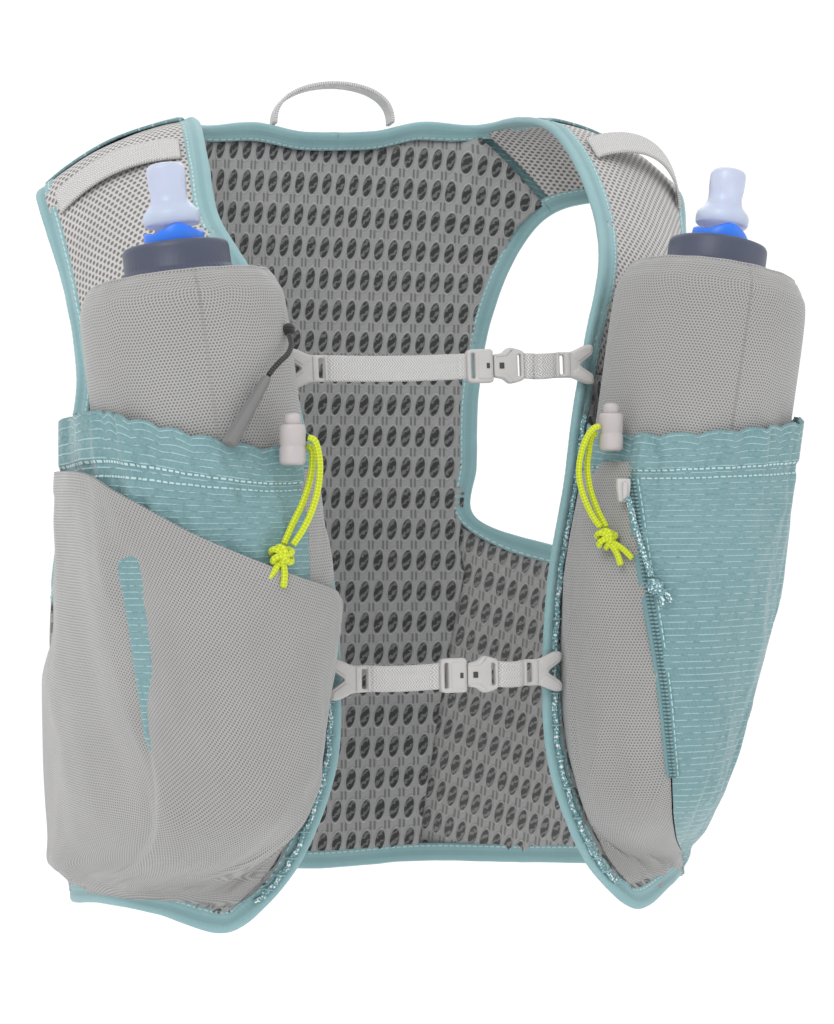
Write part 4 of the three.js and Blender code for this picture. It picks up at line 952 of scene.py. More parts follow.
def knot(name, mat):
    """Two turns of the cord wound over each other, with the ends hanging out."""
    centre, size, tails, d = KNOTS[name]
    c = Vector(centre)
    parts = []
    for k, tilt in enumerate((28, -30, 78)):
        turn = Matrix.Rotation(math.radians(tilt), 3, "Y") @ Matrix.Rotation(math.radians(12 * k), 3, "Z")
        ring = []
        for m in range(41):
            angle = 2 * math.pi * m / 40
            p = Vector((
                (size[0] - d * 0.5) * math.cos(angle) * (0.86 if k == 2 else 1),
                (size[1] - d * 0.3) * math.sin(angle),
                0.8 * math.sin(2 * angle),
            ))
            ring.append(c + turn @ p)
        parts.append(tube(name, ring, d, mat, 12))
    for tail in tails:
        e = Vector(tail)
        mid = c.lerp(e, 0.55) + Vector((0.6, -0.5, 0.3))
        parts.append(tube(name, Curve([c, mid, e]).even(14), d, mat, 12))
    o = join(name, parts)
    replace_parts(o, name)
    return o


knots = {name: knot(name, FLECK if name == "zip_knot" else LIME) for name in KNOTS}
for name, route in ROUTES.items():
    d = CORD_SIZES.get(name, 2.4)
    path = Curve(route).even(48)
    mat = {"zip_cord": FLECK, "pull_cord": BLACK}.get(name, LIME)
    o = tube(name, path, d, mat, 14)
    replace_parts(o, name)
    if name != "pull_cord":
        end = "zip_knot" if name == "zip_cord" else "draw_knot_" + name[10]


# Back wall, its cover, side panels, straps and front panels
NECK_COLUMNS, SEAM_COLUMNS, BACK_ROWS, YOKE_ROWS = 3, 3, 10, 3  # columns on each side
BACK_COLUMNS = 12
YOKE_END = row(1.7)
ARMHOLE_FOOT = back_row_at(-0.518 * LENGTH) * BACK_SHARE
HIDE = 4.6  # cloth edge under the tape
LOW_ROW = (BACK("z", 1 / 7) - BACK("z", 0)) * LENGTH


def edge_share(v):
    return HIDE / strip_width(v) * (1 + 0.3 * (1 - smooth(0, row(2), v)))


def back_across(u):
    column = (u - 0.5) * BACK_COLUMNS
    past = max(0, abs(column) - NECK_COLUMNS) / SEAM_COLUMNS
    within = min(abs(column), NECK_COLUMNS) / NECK_COLUMNS
    return math.copysign(within * NECK_SHARE + past * (1 - NECK_SHARE), column)


def back_half(v):
    return BACK("half", min(1, v / BACK_SHARE)) * HALF_WIDTH


def back_inset(across, v):
    bound = smooth(ARMHOLE_FOOT - 0.1, ARMHOLE_FOOT - 0.045, v)
    inset = mix(0.1, 5 + 1.5 * smooth(BACK_SHARE * 0.75, BACK_SHARE, v), bound)
    return across * (1 - inset / back_half(v))


def back_cloth_top(across, hide=HIDE):
    n = abs(across)
    if n < NECK_SHARE:
        p = back_top(across).copy()
        p.z -= hide
        deep = back_depth(p.x, BACK("depth", 1))
        p.y = deep - 0.5 * (deep - p.y)
        return p
    edge = edge_share(0) * hide / HIDE
    p = strip(mix(edge, 1 - edge, (n - NECK_SHARE) / (1 - NECK_SHARE)), 0)
    p.x *= math.copysign(1, across)
    return p


def back_cloth(u, v):
    across = back_across(u)
    r = mix((HIDE / LOW_ROW / 7) * BACK_SHARE, 1, v)
    if r <= BACK_SHARE:
        return back(back_inset(across, r), r)
    low = back(back_inset(across, BACK_SHARE), BACK_SHARE)
    t = (r - BACK_SHARE) / (1 - BACK_SHARE)
    p = low.lerp(back_cloth_top(across), t)
    p.x *= 1 - 0.2 * t * (1 - t) * across**4
    return p


def hung(p):
    return hang(p.x, p.y, p.z)


def shell_point(u, v):
    r = v * (BACK_ROWS + YOKE_ROWS)
    if r <= BACK_ROWS:
        return hung(back_cloth(u, (r / BACK_ROWS) * (0.993 if r < BACK_ROWS else 1)))
    across = back_across(u)
    if abs(across) < NECK_SHARE * 0.99:
        p = back_cloth(u, 1)
        return hang(p.x, p.y, p.z + (r - BACK_ROWS) * TAPE)
    down = ((r - BACK_ROWS) / YOKE_ROWS) * YOKE_END
    edge = edge_share(down)
    p = strip(mix(edge, 1 - edge, max(0, (abs(across) - NECK_SHARE) / (1 - NECK_SHARE))), down)
    p -= outward(p) * 1.2 * smooth(0, row(0.5), down)
    return on("l" if across < 0 else "r", p)


def crease(scale, depth, seed):
    """Soft folds of a given depth, scale mm across."""
    return lambda u, v, a, b: depth * noise.fractal(
        Vector((a / scale, b / scale, seed)), 0.9, 2.1, 3
    )


panel = cloth("back_panel", lambda u, v: hung(back_cloth(u, v * 0.993)), 96, 90, SPACER_WALL,
              BACK_MESH, relief=crease(70, 0.5, 3.1), nodes=["back_panel"],
              uv=lambda u, v, p, a, b: (p[0] * (1 + 0.06 * (v - 0.5)), b))
SHELL_LIFT = 1.3 + GAP + 0.6 + 0.9
shell = cloth("back_shell", shell_point, 96, 104, SHELL_WALL, RIPSTOP, relief=crease(45, 0.5, 8.4),
              nodes=["back_shell"], lift=SHELL_LIFT,
              keep=lambda u, v: v * (BACK_ROWS + YOKE_ROWS) < BACK_ROWS
              or abs(back_across(u)) > NECK_SHARE)

SIDE_HEIGHT = LENGTH * 0.42
SLEEVE_TOP = -CAP_HEIGHT * 0.57


def flask_frame(s):
    return Matrix.Translation(hang(sign[s] * FLASK_X, FLASK_Y, FLASK_Z)) @ Matrix.Rotation(
        sign[s] * math.radians(LEAN[s]), 4, "Y"
    )


POCKET_COLUMNS, SPLIT = 26, {"l": 6, "r": 5}  # columns of a pocket, and before its seam
CHANNEL_SHARE = 0.25  # of a pocket's rows, above its channel


def split_place(u, column, low, start=0.0):
    share = column / POCKET_COLUMNS
    return mix(start, low, u / share) if u < share else mix(low, 1, (u - share) / (1 - share))


HEM_UNDER = HEM_ROW + 0.035  # row where cloth ends under the hem tape
FOOT = {"l": row(11), "r": HEM_UNDER}
ZIP_BOTTOM = row(11.1)
ZIP_SHARE = 3.5 / 240


def zip_place(v):
    return mix(0.262, 0.42, (v - CHANNEL_ROW) / (ZIP_BOTTOM - CHANNEL_ROW))


def seam_place(v):
    return mix(0.305, 0.335, (v - CHANNEL_ROW) / (FOOT["l"] - CHANNEL_ROW))


def layer_start(v):
    return 0.024 * smooth(row(8.6), row(9.6), v)


def pocket_row(s, v):
    if v < CHANNEL_SHARE:
        return mix(MOUTH_ROW, CHANNEL_ROW, v / CHANNEL_SHARE)
    return mix(CHANNEL_ROW, FOOT[s], (v - CHANNEL_SHARE) / (1 - CHANNEL_SHARE))


def gather(s, place, v):
    """Ruffles of the drawn hem: fullest at the mouth and in the channel, fading below it."""
    seed = 2.7 if s == "l" else 9.3
    big = math.sin(2 * math.pi * 7 * place + 0.6 * math.sin(5 * place))
    small = noise.noise(Vector((place * 34, v * 9, seed))) * 2.2
    small += noise.noise(Vector((place * 70, v * 16, seed))) * 0.7
    rooted = smooth(0.02, 0.16, place) * smooth(0, 0.08, 1 - place)
    top = 1 - smooth(MOUTH_ROW, CHANNEL_ROW * 1.12, v)
    pinch = math.exp(-(((v - CHANNEL_ROW) / 0.004) ** 2))
    pinch += math.exp(-(((v - CHANNEL_ROW + 0.0062) / 0.003) ** 2))
    return (1.7 * big * top + 1.5 * small * (0.25 + top)) * rooted - 1.0 * pinch * rooted


def pocket_fold(s, place, v):
    seed = 4.4 if s == "l" else 6.1
    long = noise.noise(Vector((place * 7 + (v - 0.6) * 6, v * 7, seed)))
    fine = noise.fractal(Vector((place * 26, v * 26, seed)), 0.9, 2.1, 2)
    live = smooth(0.02, 0.14, place) * smooth(0, 0.12, 1 - place)
    live *= smooth(CHANNEL_ROW, CHANNEL_ROW + 0.05, v)
    slant = noise.noise(Vector((place * 13 - v * 16, v * 5, seed + 2)))
    sharp = 1 - abs(2 * noise.noise(Vector((place * 10 + v * 5, v * 9, seed + 5))))
    return (2.4 * long + 1.6 * slant + 1.1 * max(0, sharp) ** 3 + 0.5 * fine) * live


# Rise of the mouth round each pocket, in mm
MOUTH = {"l": (0, -3, -7, -8, -2, 6, 9, 9, 6), "r": (0, -3, -6, -6, -4, -1, 2, 2, 0)}
PUSH_OUT, PUSH_IN = 3.0, 1.1  # most that a fold stands out, or lies in, in mm


def mouth_drop(s, place, v):
    """How far the drawn mouth rises or dips, with the small scallops of its frill."""
    fade = 1 - smooth(MOUTH_ROW, CHANNEL_ROW + 0.07, v)
    frill = 1 - smooth(MOUTH_ROW, CHANNEL_ROW - 0.01, v)
    scallop = 1.5 * abs(math.sin(math.pi * 19 * place + 1.5 * math.sin(9 * place))) - 0.8
    rooted = smooth(0.01, 0.08, place) * smooth(0, 0.06, 1 - place)
    return spline(MOUTH[s], place) * fade * rooted + scallop * frill * rooted


def pocket_point(s, u, v):
    r = pocket_row(s, v)
    if s == "l":
        place = split_place(u, SPLIT[s], seam_place(r), layer_start(r))
    else:
        place = split_place(u, SPLIT[s], zip_place(r))
    push = gather(s, place, r) + pocket_fold(s, place, r)
    if s == "l":
        fade = 1 - smooth(MOUTH_ROW, CHANNEL_ROW, r)
        push -= 3 * math.exp(-(((place - 0.44) / 0.06) ** 2)) * fade
    most = PUSH_OUT if push > 0 else PUSH_IN
    p = on(s, pocket(s, place, r, most * math.tanh(push / most)))
    p.z += mouth_drop(s, place, r)
    return p


def pocket_cut(s):
    """UV of the pocket's cloth before it was gathered: across it, and down from its mouth."""
    top = STRIP("in_z", MOUTH_ROW)
    width = 245
    return lambda u, v, p, a, b: (u * width, (top - STRIP("in_z", pocket_row(s, v))) * LENGTH)


def gusset_point(s, u, v):
    r = mix(CHANNEL_ROW - 0.006, FOOT[s], v)
    if s == "l":
        place = mix(layer_start(r), seam_place(r) + 0.001, u)
    else:
        place = mix(0, zip_place(r) - ZIP_SHARE * 0.3, u)
    return on(s, pocket(s, place, r, -0.7 * smooth(0.06, 0, v) - 0.12 + pocket_fold(s, place, r)))


# Row of the stretch pocket's top edge, from front to side
STRETCH_TOP = (9.6, 9.3, 9.08, 8.88, 8.45, 7.85, 7.5, 7.4, 7.4)


def stretch_point(u, v):
    top = row(spline(STRETCH_TOP, u))
    r = mix(top, HEM_UNDER, v)
    at = (v - 0.72 - 0.12 * u) / 0.07
    fold = 2.2 * math.exp(-(at**2)) - 1.1 * math.exp(-((at - 1.15) ** 2) * 3)
    lift = 2.95 * smooth(0.0, 0.06, u) + 2.2 * v * (1 - v) * u + fold * u
    band = -3.0 * math.exp(-(((u - 0.62 - 0.1 * v) / 0.045) ** 2))
    band *= smooth(0.02, 0.2, v) * smooth(0.7, 0.5, v)
    ridge = 2.2 * math.exp(-((((u - 0.2) - 0.42 * (v - 0.45)) / 0.03) ** 2))
    ridge *= smooth(0.35, 0.5, v) * (1 - smooth(0.62, 0.8, v))
    fine = noise.noise(Vector((u * 9, v * 5, 1.7))) * 1.5
    fine += noise.noise(Vector((u * 26, v * 13, 5.1))) * 0.5
    live = smooth(0.0, 0.08, u) * smooth(0, 0.1, 1 - u)
    hem = 0.5 * (1 - smooth(0.045, 0.06, v)) * live
    flat = 1 - smooth(HEM_ROW - 0.03, HEM_ROW + 0.01, r)
    rise = (lift + (band + ridge + fine * 1.4) * live + hem) * flat
    return on("l", pocket("l", mix(0.007, 1, u), r, rise))


def zip_point(u, v):
    r = mix(CHANNEL_ROW + 0.012, ZIP_BOTTOM, v)
    return on("r", pocket("r", zip_place(r) + ZIP_SHARE * (2 * u - 1), r, 1.35))


def zip_teeth(u, v, a, b):
    if 0.3 < u < 0.7:
        tooth = 0.5 + 0.5 * math.sin(2 * math.pi * b / 1.5 + (math.pi if u > 0.5 else 0))
        return 0.9 * math.sin(math.pi * (u - 0.3) / 0.2) ** 2 * (0.45 + 0.55 * tooth)
    return 0.0


for s in SIDES:
    side_top, side_foot = HIDE / SIDE_HEIGHT, 1 - HIDE / SIDE_HEIGHT
    def side_point(u, v):
        across = mix(0.003, 1.05, u)
        p = side_panel(min(across, 1), mix(side_top, side_foot, v))
        q = side_panel(0.97, mix(side_top, side_foot, v))
        if across > 1:
            p = p + (p - q) * ((across - 1) / 0.03)
        p += outward(p) * (2.4 * smooth(0.9, 0.97, across))
        return on(s, p)

    o = cloth(f"side_panel_{s}", side_point, 60, 48,
              SPACER_WALL, SIDE_MESH, relief=crease(50, 0.4, 5.0), nodes=[f"side_panel_{s}"])

    def strap_point(u, v):
        r = mix(row(0.08), STRAP_END, v)
        edge = edge_share(r)
        return on(s, strip(mix(edge, 1 - edge, u), r))

    o = cloth(f"strap_mesh_{s}", strap_point, 40, 96, STRAP_WALL, NET,
              relief=crease(40, 0.5, 2.2), nodes=[f"strap_mesh_{s}"])

    def front_point(u, v):
        r = mix(STRAP_END + 0.001, HEM_UNDER, v)
        edge = HIDE / strip_width(r)
        seam = mix(edge, GAP / strip_width(r), smooth(*SIDE_EASE, r))
        return on(s, strip(mix(edge, 1 - seam, u), r))

    o = cloth(f"front_panel_{s}", front_point, 56, 72, SPACER_WALL, SIDE_MESH,
              nodes=[f"front_panel_{s}"])

    o = cloth(f"bottle_pocket_{s}", lambda u, v: pocket_point(s, u, v), 260, 120, RIPSTOP_WALL,
              POCKET_CLOTH, nodes=[f"bottle_pocket_{s}"], uv=pocket_cut(s),
              keep=lambda u, v: u * POCKET_COLUMNS > SPLIT[s] or v < CHANNEL_SHARE)
    o = cloth(f"stretch_gusset_{s}", lambda u, v: gusset_point(s, u, v), 44, 72, STRETCH_WALL,
              STRETCH, nodes=[f"stretch_gusset_{s}"])

    frame_s = flask_frame(s)
    rim_rows = [
        [SLEEVE_RIM, SLEEVE_TOP + 1],
        [mix(SLEEVE_RIM, SLEEVE_RADIUS, 0.6), SLEEVE_TOP - 4],
        [SLEEVE_RADIUS, SLEEVE_TOP - 16],
        [SLEEVE_RADIUS, mix(SLEEVE_TOP - 16, -SLEEVE_LENGTH, 0.5)],
        [SLEEVE_RADIUS, -SLEEVE_LENGTH],
    ]

    def sleeve_point(u, v):
        angle = 2 * math.pi * u - math.pi / 2
        rad = spline([k[0] for k in rim_rows], v) - 0.5
        ripple = 0.35 * math.sin(34 * math.pi * u) + 0.3 * math.sin(22 * math.pi * u + 1)
        rad += ripple * (1 - smooth(0.05, 0.35, v))
        rad += 0.4 * noise.noise(Vector((math.cos(angle) * 2, math.sin(angle) * 2, v * 3)))
        rad += 0.45 * math.exp(-(((v - 0.035) / 0.02) ** 2))
        z = spline([k[1] for k in rim_rows], v)
        return frame_s @ Vector((rad * math.cos(angle), rad * math.sin(angle), z))

    mid = np.array(frame_s @ Vector((0, 0, -60)))
    o = cloth(f"flask_sleeve_{s}", sleeve_point, 180, 60, 1.0, STRETCH, loop_u=True, look=lambda P: P - mid,
              nodes=[f"flask_sleeve_{s}"])

o = cloth("stretch_pocket", stretch_point, 190, 120, STRETCH_WALL, STRETCH, nodes=["stretch_pocket"])
cloth("zip_tape", zip_point, 20, 300, 1.2, ZIP_CLOTH, relief=zip_teeth, nodes=["zip_tape"],
      uv=lambda u, v, p, a, b: (9 * u - 0.6, b))


# Folded tapes round the edges, and the cords tacked along the front ones
TAPE_PROFILE = [
    (0, 0), (0.15, 0.9), (0.7, 1.45), (1.8, 1.7), (3.0, 1.55), (4.3, 1.15), (5.6, 1.5), (6.8, 1.7), (7.7, 1.4),
    (8.5, 1.45), (9, 1.1), (9, -1.1), (8.5, -1.45), (6.8, -1.7), (4.5, -1.6), (1.8, -1.7), (0.7, -1.45), (0.15, -0.9),
]


def rim_of(posts):
    return Curve([p for p, q in posts], True), Curve([q for p, q in posts], True)


def rim_frame(rim, t):
    edge, inner = rim
    p = edge.get(t)
    across = (inner.get(t) - p).normalized()
    tangent = edge.get((t + 5e-4) % 1) - edge.get((t - 5e-4) % 1)
    face = tangent.cross(across).normalized()
    if face.dot(outward(p)) < 0:
        face.negate()
    return p, across, face


def tape(name, rim, steps, seed):
    frames = [rim_frame(rim, k / steps) for k in range(steps)]
    verts, uvs, faces = [], [], []
    count = len(TAPE_PROFILE)
    run = 0.0
    for k, (p, across, face) in enumerate(frames):
        if k:
            run += (p - frames[k - 1][0]).length
        pucker = 0.16 * math.sin(run * 2 * math.pi / 2.9)
        pucker += 0.35 * noise.noise(Vector((run / 6, seed, 0)))
        for a, f in TAPE_PROFILE:
            soft = pucker * (1 if f > 0 else -1) * (0.4 + 0.6 * (a > 6))
            wander = a + 0.2 * noise.noise(Vector((run / 9, seed, a)))
            verts.append(p + across * wander + face * (f + (soft if 0 < a < 9 else 0)))
            uvs.append((a, run))
    for k in range(steps):
        for m in range(count):
            a, b = k * count + m, k * count + (m + 1) % count
            c, d = ((k + 1) % steps) * count + (m + 1) % count, ((k + 1) % steps) * count + m
            faces.append((a, b, c, d))
    o = obj_of(name, mesh_of(name, verts, faces, uvs), TAPE_CLOTH)
    merge(o)
    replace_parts(o, name)
    return o


def tape_share(v):
    return TAPE / strip_width(v)


HEM_TAPE_ROW = 1 - (TAPE / (LENGTH * 0.041)) * row(1)
HEM_INSET = (10 / LOW_ROW / 7) * BACK_SHARE
half = [(back(NECK_SHARE * k, 1), back_cloth_top(NECK_SHARE * k, 10)) for k in (0.3, 0.62)]
half += [(strip(0, row(k)), strip(tape_share(row(k)), row(k))) for k in range(LAST)]
half.append((strip(0, 1), strip(tape_share(1) * 0.75, mix(1, HEM_TAPE_ROW, 0.75))))
half += [(strip(k, 1), strip(k, HEM_TAPE_ROW)) for k in (0.3, 0.65)]
half += [(side_panel(k, 1), side_panel(k, 1 - TAPE / SIDE_HEIGHT)) for k in (0, 0.35, 0.7)]
half.append((back(1, 0), back(1, HEM_INSET)))
edge_posts = [(back(0, 1), back_cloth_top(0, 10))]
edge_posts += [(on("r", p), on("r", q)) for p, q in half]
edge_posts.append((back(0, 0), back(0, HEM_INSET)))
edge_posts += [(on("l", p), on("l", q)) for p, q in reversed(half)]
edge_rim = rim_of(edge_posts)
tape("edge_binding", edge_rim, 1100, 1.3)

CORD_FROM, CORD_TO, CORD_STEPS, TACK_STEPS = 3 + 6.9, 3 + 13.2, 240, 17  # posts, then steps


def cord_place(s, share):
    post = mix(CORD_FROM, CORD_TO, share)
    return (post if s == "r" else len(edge_posts) - post) / len(edge_posts)


for s in SIDES:
    posts = [(strip(1, row(k)), strip(1 - tape_share(row(k)), row(k))) for k in range(9)]
    posts += [(side_panel(k, 0), side_panel(k, TAPE / SIDE_HEIGHT)) for k in (0, 0.33, 0.66)]
    for height in (-0.518, -0.45, -0.347, -0.235, -0.141):
        v = back_row_at(height * LENGTH) * BACK_SHARE
        posts.append((back(1, v), back(1 - TAPE / back_half(v), v)))
    tape(f"armhole_binding_{s}", rim_of([(on(s, p), on(s, q)) for p, q in posts]), 460, 7.7)

    points = []
    for k in range(CORD_STEPS + 1):
        share = k / CORD_STEPS
        p, across, face = rim_frame(edge_rim, cord_place(s, share))
        wave = 0.7 * math.sin(math.pi * 17 * share) ** 2
        points.append(p + face * 2.3 + across * (4.7 - wave))
    cord = tube(f"edge_cord_{s}", points, 2.4, FLECK, 10)
    tacks = []
    for k in range(1, TACK_STEPS):
        q = points[int(k / TACK_STEPS * CORD_STEPS)]
        _, across, face = rim_frame(edge_rim, cord_place(s, k / TACK_STEPS))
        turns = [math.pi * m / 8 for m in range(9)]
        arch = [q + across * (2.2 * math.cos(a)) + face * (1.75 * math.sin(a) - 0.3) for a in turns]
        tacks.append(tube("tack", arch, 0.7, TAPE_CLOTH, 6))
    o = join(f"edge_cord_{s}", [cord, *tacks])
    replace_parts(o, f"edge_cord_{s}")


# Flasks: body, ribbed cap, collar with its peak, bite valve
for s in SIDES:
    M = flask_frame(s)
    foot, top = -CAP_HEIGHT * 0.57, CAP_HEIGHT * 0.43
    crown = top - 2.8
    rows = [(0, crown - 0.6), (18.4, crown - 0.6), (19, crown - 1), (19, foot - 0.4), (24, foot - 1.6), (29, foot - 3),
            (32.6, foot - 6), (34.2, foot - 9.5), (35.4, foot - 14), (36, foot - 20), (36, -145), (34.6, -154), (32.4, -159.6),
            (26, -163.6), (19.8, -166.2), (9, -167.6), (0, -168)]
    o = merge(turned(f"flask_body_{s}", rows, 64, FLASK, M))
    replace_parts(o, f"flask_body_{s}")

    def ribs(radius, z, angle, k):
        if 3 <= k <= 7:
            radius += 0.5 * abs(math.sin(angle * 28)) ** 0.6 * (1 if k < 7 else 0.4)
        return radius, z

    rows = [(0, crown), (19.4, crown), (19.4, foot), (21.4, foot), (21.9, foot + 0.6), (21.9, foot + 2.4), (21.2, foot + 3.4),
            (20.4, foot + 4.2), (20, foot + 5), (19.9, top - 2.4), (19.7, top - 1.2), (19.1, top - 0.3), (18.3, top),
            (14, top), (0, top)]
    o = merge(turned(f"flask_cap_{s}", rows, 224, CAP, M, ribs))
    soften(o, 50)
    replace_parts(o, f"flask_cap_{s}")

    base = top + GAP
    peak = base + COLLAR_HEIGHT

    def wave(radius, z, angle, k):
        turn = (angle + math.pi / 2 + math.pi) % (2 * math.pi) - math.pi
        rise = 1.6 * math.exp(-((turn / 0.42) ** 2)) - 1.4 * math.exp(-(((abs(turn) - 1.0) / 0.45) ** 2))
        return radius, z + (rise if 3 <= k <= 7 else 0)

    rows = [(7.4, base), (11.2, base), (11.4, base + 0.5), (11.2, peak - 2.2), (10.9, peak - 1.7), (10.2, peak - 1.4),
            (9, peak - 1.5), (7.4, peak - 1.8), (7.4, base)]
    o = merge(turned(f"valve_collar_{s}", rows, 96, BLUE, M, wave))
    soften(o, 55)
    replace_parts(o, f"valve_collar_{s}")
    tip = base + VALVE_HEIGHT
    rows = [(0, base + 0.2), (6.6, base + 0.2), (6.8, peak + 0.1), (9.9, peak + 0.4), (10.5, peak + 1), (10.75, peak + 2.6),
            (10.7, peak + 4.2), (10.2, peak + 5.4), (9, peak + 6.8), (7.9, peak + 8), (7.1, peak + 9.6), (6.8, peak + 11.4),
            (6.85, peak + 13.4), (7.1, peak + 15), (7.2, tip - 5), (7.2, tip - 2.4), (6.9, tip - 1.3), (6.2, tip - 0.4),
            (5, tip), (3.6, tip - 0.1), (2.6, tip - 0.8), (0, tip - 1)]
    o = merge(turned(f"bite_valve_{s}", rows, 64, VALVE, M))
    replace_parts(o, f"bite_valve_{s}")


# Chest straps
STRAPS = (("upper", -117, 64, -94, 0.15, 0.325), ("lower", -239.5, 48, -99.6, -0.07, 0.155))
CLIP = [(10.2, 0), (16.3, 4.2), (16.5, 8), (13.2, 8), (7, 5.2), (0, 5.2)]
CLIP_OUT = rounded(CLIP + [(x, -z) for x, z in CLIP[:0:-1]], 1.4)
CLIP_SLOT = rounded([(1.7, -3.9), (3.6, -3.9), (3.6, 3.9), (1.7, 3.9)], 0.7)
FRAME_OUT = rounded([(0, -5.8), (1.5, -6.75), (11, -6.75), (11, 6.75), (1.5, 6.75), (0, 5.8)], 1.5)
PLUG = [(0, -4.6), (3.9, -5.2), (6.5, -7.4), (10.1, -6.7), (13, -5.5)]
PLUG_OUT = rounded(PLUG + [(x, -z) for x, z in reversed(PLUG)], 1.2)


def box_loop(x0, x1, z, r=0.6):
    return rounded([(x0, -z), (x1, -z), (x1, z), (x0, z)], r)


def clip_piece(name, M):
    body_part = plate(name, CLIP_OUT, 2.6, PLASTIC, M, [CLIP_SLOT], 0.6)
    lip = Matrix.Translation((0, -0.7, 0))
    cheek = rounded([(0.2, -5), (1.4, -5), (1.4, 5), (0.2, 5)], 0.4)
    bar = rounded([(3.9, -4.9), (6.2, -4.9), (6.2, 4.9), (3.9, 4.9)], 0.6)
    arm = [(7.2, 4.9), (13.4, 7.4), (15.8, 7.4), (15.6, 4.9), (10, 1.1), (7.4, 3.0)]
    arms = [arm, [(x, -z) for x, z in reversed(arm)]]
    parts = [
        body_part,
        plate(name, cheek, 2.2, PLASTIC, M @ lip, (), 0.4),
        plate(name, bar, 2.0, PLASTIC, M @ lip, (), 0.5),
    ]
    parts += [plate(name, rounded(a, 0.8), 1.9, PLASTIC, M @ lip, (), 0.5) for a in arms]
    return join(name, parts)


for name, z, reach, y, fx, px in STRAPS:
    slope = SKEW * (1 + z / LENGTH)

    def place(x):
        return Matrix.Translation(hang(x, y, z)) @ Matrix.Rotation(-slope, 4, "Y")

    clip_foot = reach - 16.5
    frame_x = fx * reach
    plug_x = max(px * reach, frame_x + 11.4)
    for s in SIDES:
        M = place(sign[s] * clip_foot)
        if s == "l":
            M = M @ Matrix.Rotation(math.pi, 4, "Z") @ Matrix.Scale(-1, 4, (0, 1, 0))
        o = clip_piece(f"strap_clip_{name}_{s}", M)
        merge(o)
        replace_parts(o, o.name.removesuffix("_visual"))
    M = place(frame_x)
    ring = plate(f"buckle_frame_{name}", FRAME_OUT, 4.2, PLASTIC, M, [box_loop(1.8, 3.3, 5)], 0.8)
    front = Matrix.Translation((0, -1.3, 0))
    panel_f = plate("f", box_loop(4.4, 10.2, 5.4, 1.2), 2.2, PLASTIC, M @ front, (), 0.5)
    window = plate("f", box_loop(7.9, 9.3, 1.1, 0.2), 0.5, SHADOW, M @ Matrix.Translation((0, -2.25, 0)), (), 0.1)
    o = join(f"buckle_frame_{name}", [ring, panel_f, window])
    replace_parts(o, o.name.removesuffix("_visual"))
    M = place(plug_x)
    core = plate(f"buckle_plug_{name}", PLUG_OUT, 3.2, PLASTIC, M, [box_loop(10.1, 11.5, 4.4)], 0.7)
    wings = []
    for w in (1, -1):
        wing = [(0.3, w * 4.5), (4, w * 5), (6.6, w * 7.1), (8.4, w * 6.6), (5.4, w * 3.7), (0.6, w * 3.3)]
        wings.append(plate("w", rounded(wing if w > 0 else wing[::-1], 0.7), 2.0, PLASTIC, M @ Matrix.Translation((0, -0.9, 0)), (), 0.5))
    window = plate("w", box_loop(2.2, 4.2, 1.2, 0.2), 0.5, SHADOW, M @ Matrix.Translation((0, -1.6, 0)), (), 0.1)
    o = join(f"buckle_plug_{name}", [core, *wings, window])
    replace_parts(o, o.name.removesuffix("_visual"))

    for s, a, b in (("l", -clip_foot - 1, frame_x + 1), ("r", plug_x + 12.2, clip_foot + 1)):
        width = abs(b - a)

        def web_point(u, v):
            p = hang(mix(a, b, v), y, z)
            sag = 0.5 * math.sin(math.pi * v)
            return Vector((p.x, p.y, p.z + 10.2 * (u - 0.5) - sag))

        def doubled(u, v, la, lb):
            from_clip = lb if s == "l" else width - lb
            from_buckle = width - from_clip
            step = 0.7 * (1 - smooth(7.5, 8.5, from_clip)) + 0.7 * (1 - smooth(4, 4.8, from_buckle))
            ends = min(from_clip, from_buckle)
            return step - 1.2 * (1 - smooth(0, 3, ends))

        cloth(f"webbing_{name}_{s}", web_point, 14, max(30, int(width * 2)), 1.5, WEB, relief=doubled,
              nodes=[f"webbing_{name}_{s}"], look=lambda P: np.broadcast_to(np.array([0.0, -1.0, 0.0]), P.shape))


# Cord locks with their sprung buttons
LOCKS = {"l": (-75.4, -155, -152), "r": (55.5, -133.9, -144.3)}
for s in SIDES:
    M = Matrix.Translation(LOCKS[s])
    f = -7.25
    rows = [(0, f), (3.6, f), (4.2, f + 0.3), (4.6, f + 1), (4.7, f + 1.6), (4.7, f + 6), (4.45, f + 6.4), (4.45, f + 7.2),
            (4.7, f + 7.6), (4.7, 5.6), (4.55, 6.6), (4.1, 7.2), (3.6, 7.25), (3.5, 7), (3.5, f + 4), (0, f + 4)]
    o = merge(turned(f"cord_lock_{s}", rows, 56, LOCK_PLASTIC, M))
    soften(o, 50)
    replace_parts(o, o.name.removesuffix("_visual"))
    rows = [(0, f + 8.5), (2.7, f + 8.5), (3, f + 8.8), (3, 9.6), (2.8, 10.4), (2.3, 10.9), (1.5, 11.2), (0, 11.25)]
    o = merge(turned(f"lock_button_{s}", rows, 48, LOCK_PLASTIC, M, None, f"lock_button_{s}"))
    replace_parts(o, o.name.removesuffix("_visual"))

slider = plate("zip_slider", rounded([(-1.9, -4.5), (1.9, -4.5), (2.7, 0.9), (2.7, 4.5), (-2.7, 4.5), (-2.7, 0.9)], 0.9), 2.5,
               PLASTIC, Matrix.Translation((57, -142.5, -167)), (), 0.6)
bridge = plate("b", rounded([(-0.9, -3.4), (0.9, -3.4), (0.9, 3), (-0.9, 3)], 0.5), 1.6, PLASTIC,
               Matrix.Translation((57, -144.2, -167)), (), 0.5)
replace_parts(join("zip_slider", [slider, bridge]), "zip_slider")

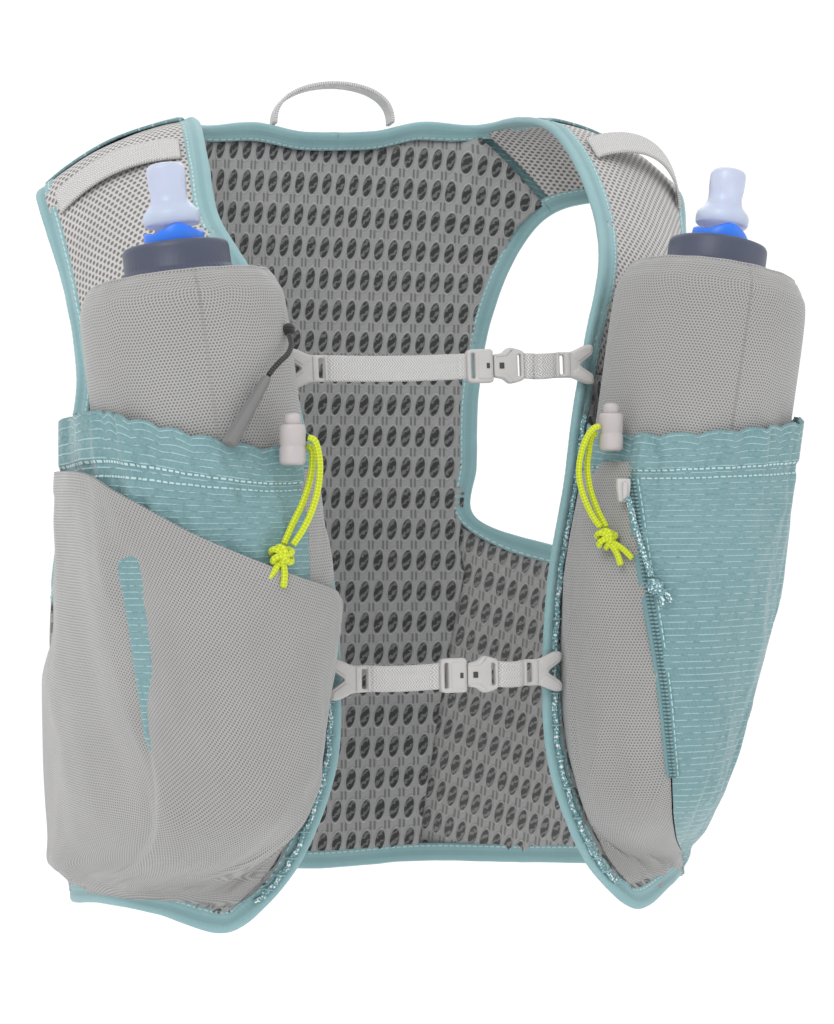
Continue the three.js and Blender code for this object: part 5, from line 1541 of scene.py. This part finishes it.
ball = turned("pull_ball", [(2.4 * math.sin(math.pi * k / 16), -2.4 * math.cos(math.pi * k / 16)) for k in range(17)], 32, BLACK,
              Matrix.Translation((-72.3, -135, -108.6)))
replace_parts(merge(ball), "pull_ball")
start, end = Vector((-84.1, -152, -127.8)), Vector((-99.5, -159.6, -152.5))
along = end - start
M = Matrix.Translation(start) @ along.to_track_quat("Z", "Y").to_matrix().to_4x4()


def grip_shape(radius, z, angle, k):
    c, t = math.cos(angle), math.sin(angle)
    box = (abs(c) ** 5 + abs(t) ** 5) ** (-1 / 5)
    return radius * box * (1 - 0.3 * abs(t)), z


L = along.length
rows = [(0, 0), (1.5, 0), (1.8, 0.4), (1.95, 1.2)]
rows += [(mix(2, 3.1, k / 24) + (0.18 if k % 3 == 0 and 4 < k < 21 else 0), mix(1.6, L - 1, k / 24)) for k in range(25)]
rows += [(2.8, L - 0.3), (2.2, L), (0, L)]
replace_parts(merge(turned("pull_grip", rows, 40, GRIP, M, grip_shape)), "pull_grip")

# Hang loop and shoulder bands
loop_foot = NECK("z", 0.3) * LENGTH + 0.68 + 2 * GAP


def loop_point(u, v):
    angle = math.pi * v
    return hang(-29 * math.cos(angle) - 2.5, 95 * 0.79 + 10 * (u - 0.3), loop_foot + 2.2 + 19 * math.sin(angle) ** 0.8)


cloth("hang_loop", loop_point, 12, 150, 1.6, WEB, nodes=["hang_loop"], look=lambda P: P - np.array([-2.5, 75.0, 12.0]))
for s, arch in (("l", 2.5), ("r", 9)):
    def band_point(u, v):
        at = row(2.75 + 0.22 * (u - 0.5) * 2)
        edge = (TAPE + 1) / strip_width(at)
        p = strip(mix(edge, 1 - edge, v), at)
        return on(s, p + outward(p) * (2.6 + arch * math.sin(math.pi * v) ** 0.8))

    cloth(f"shoulder_band_{s}", band_point, 12, 70, 1.2, WEB, nodes=[f"shoulder_band_{s}"])


# Floor and light
floor = Look("floor", (253, 253, 253), 0.95)
mesh = mesh_of("floor", [(-6000, -3000, -620), (6000, -3000, -620), (6000, 9000, -620), (-6000, 9000, -620)], [(0, 1, 2, 3)])
ground = bpy.data.objects.new("floor", mesh)
bpy.context.scene.collection.objects.link(ground)
ground.data.materials.append(floor.m)


def lamp(name, place, aim, size, power):
    data = bpy.data.lights.new(name, "AREA")
    data.shape, data.size, data.energy = "DISK", size, power
    o = bpy.data.objects.new(name, data)
    bpy.context.scene.collection.objects.link(o)
    o.location = place
    o.rotation_euler = (Vector(aim) - Vector(place)).to_track_quat("-Z", "Y").to_euler()


lamp("key", (-1.0, -1.3, 1.1), (0, -0.05, -0.15), 0.9, 11)
lamp("fill", (1.4, -0.9, 0.2), (0, 0, -0.15), 1.4, 2)
lamp("rear", (0.3, 1.5, 1.0), (0, 0, -0.15), 1.4, 5)
world = bpy.data.worlds.new("world")
world.use_nodes = True
world.node_tree.nodes["Background"].inputs[0].default_value = (1, 1, 1, 1)
world.node_tree.nodes["Background"].inputs[1].default_value = 1.06
bpy.context.scene.world = world
bpy.context.scene.view_settings.view_transform = "Standard"
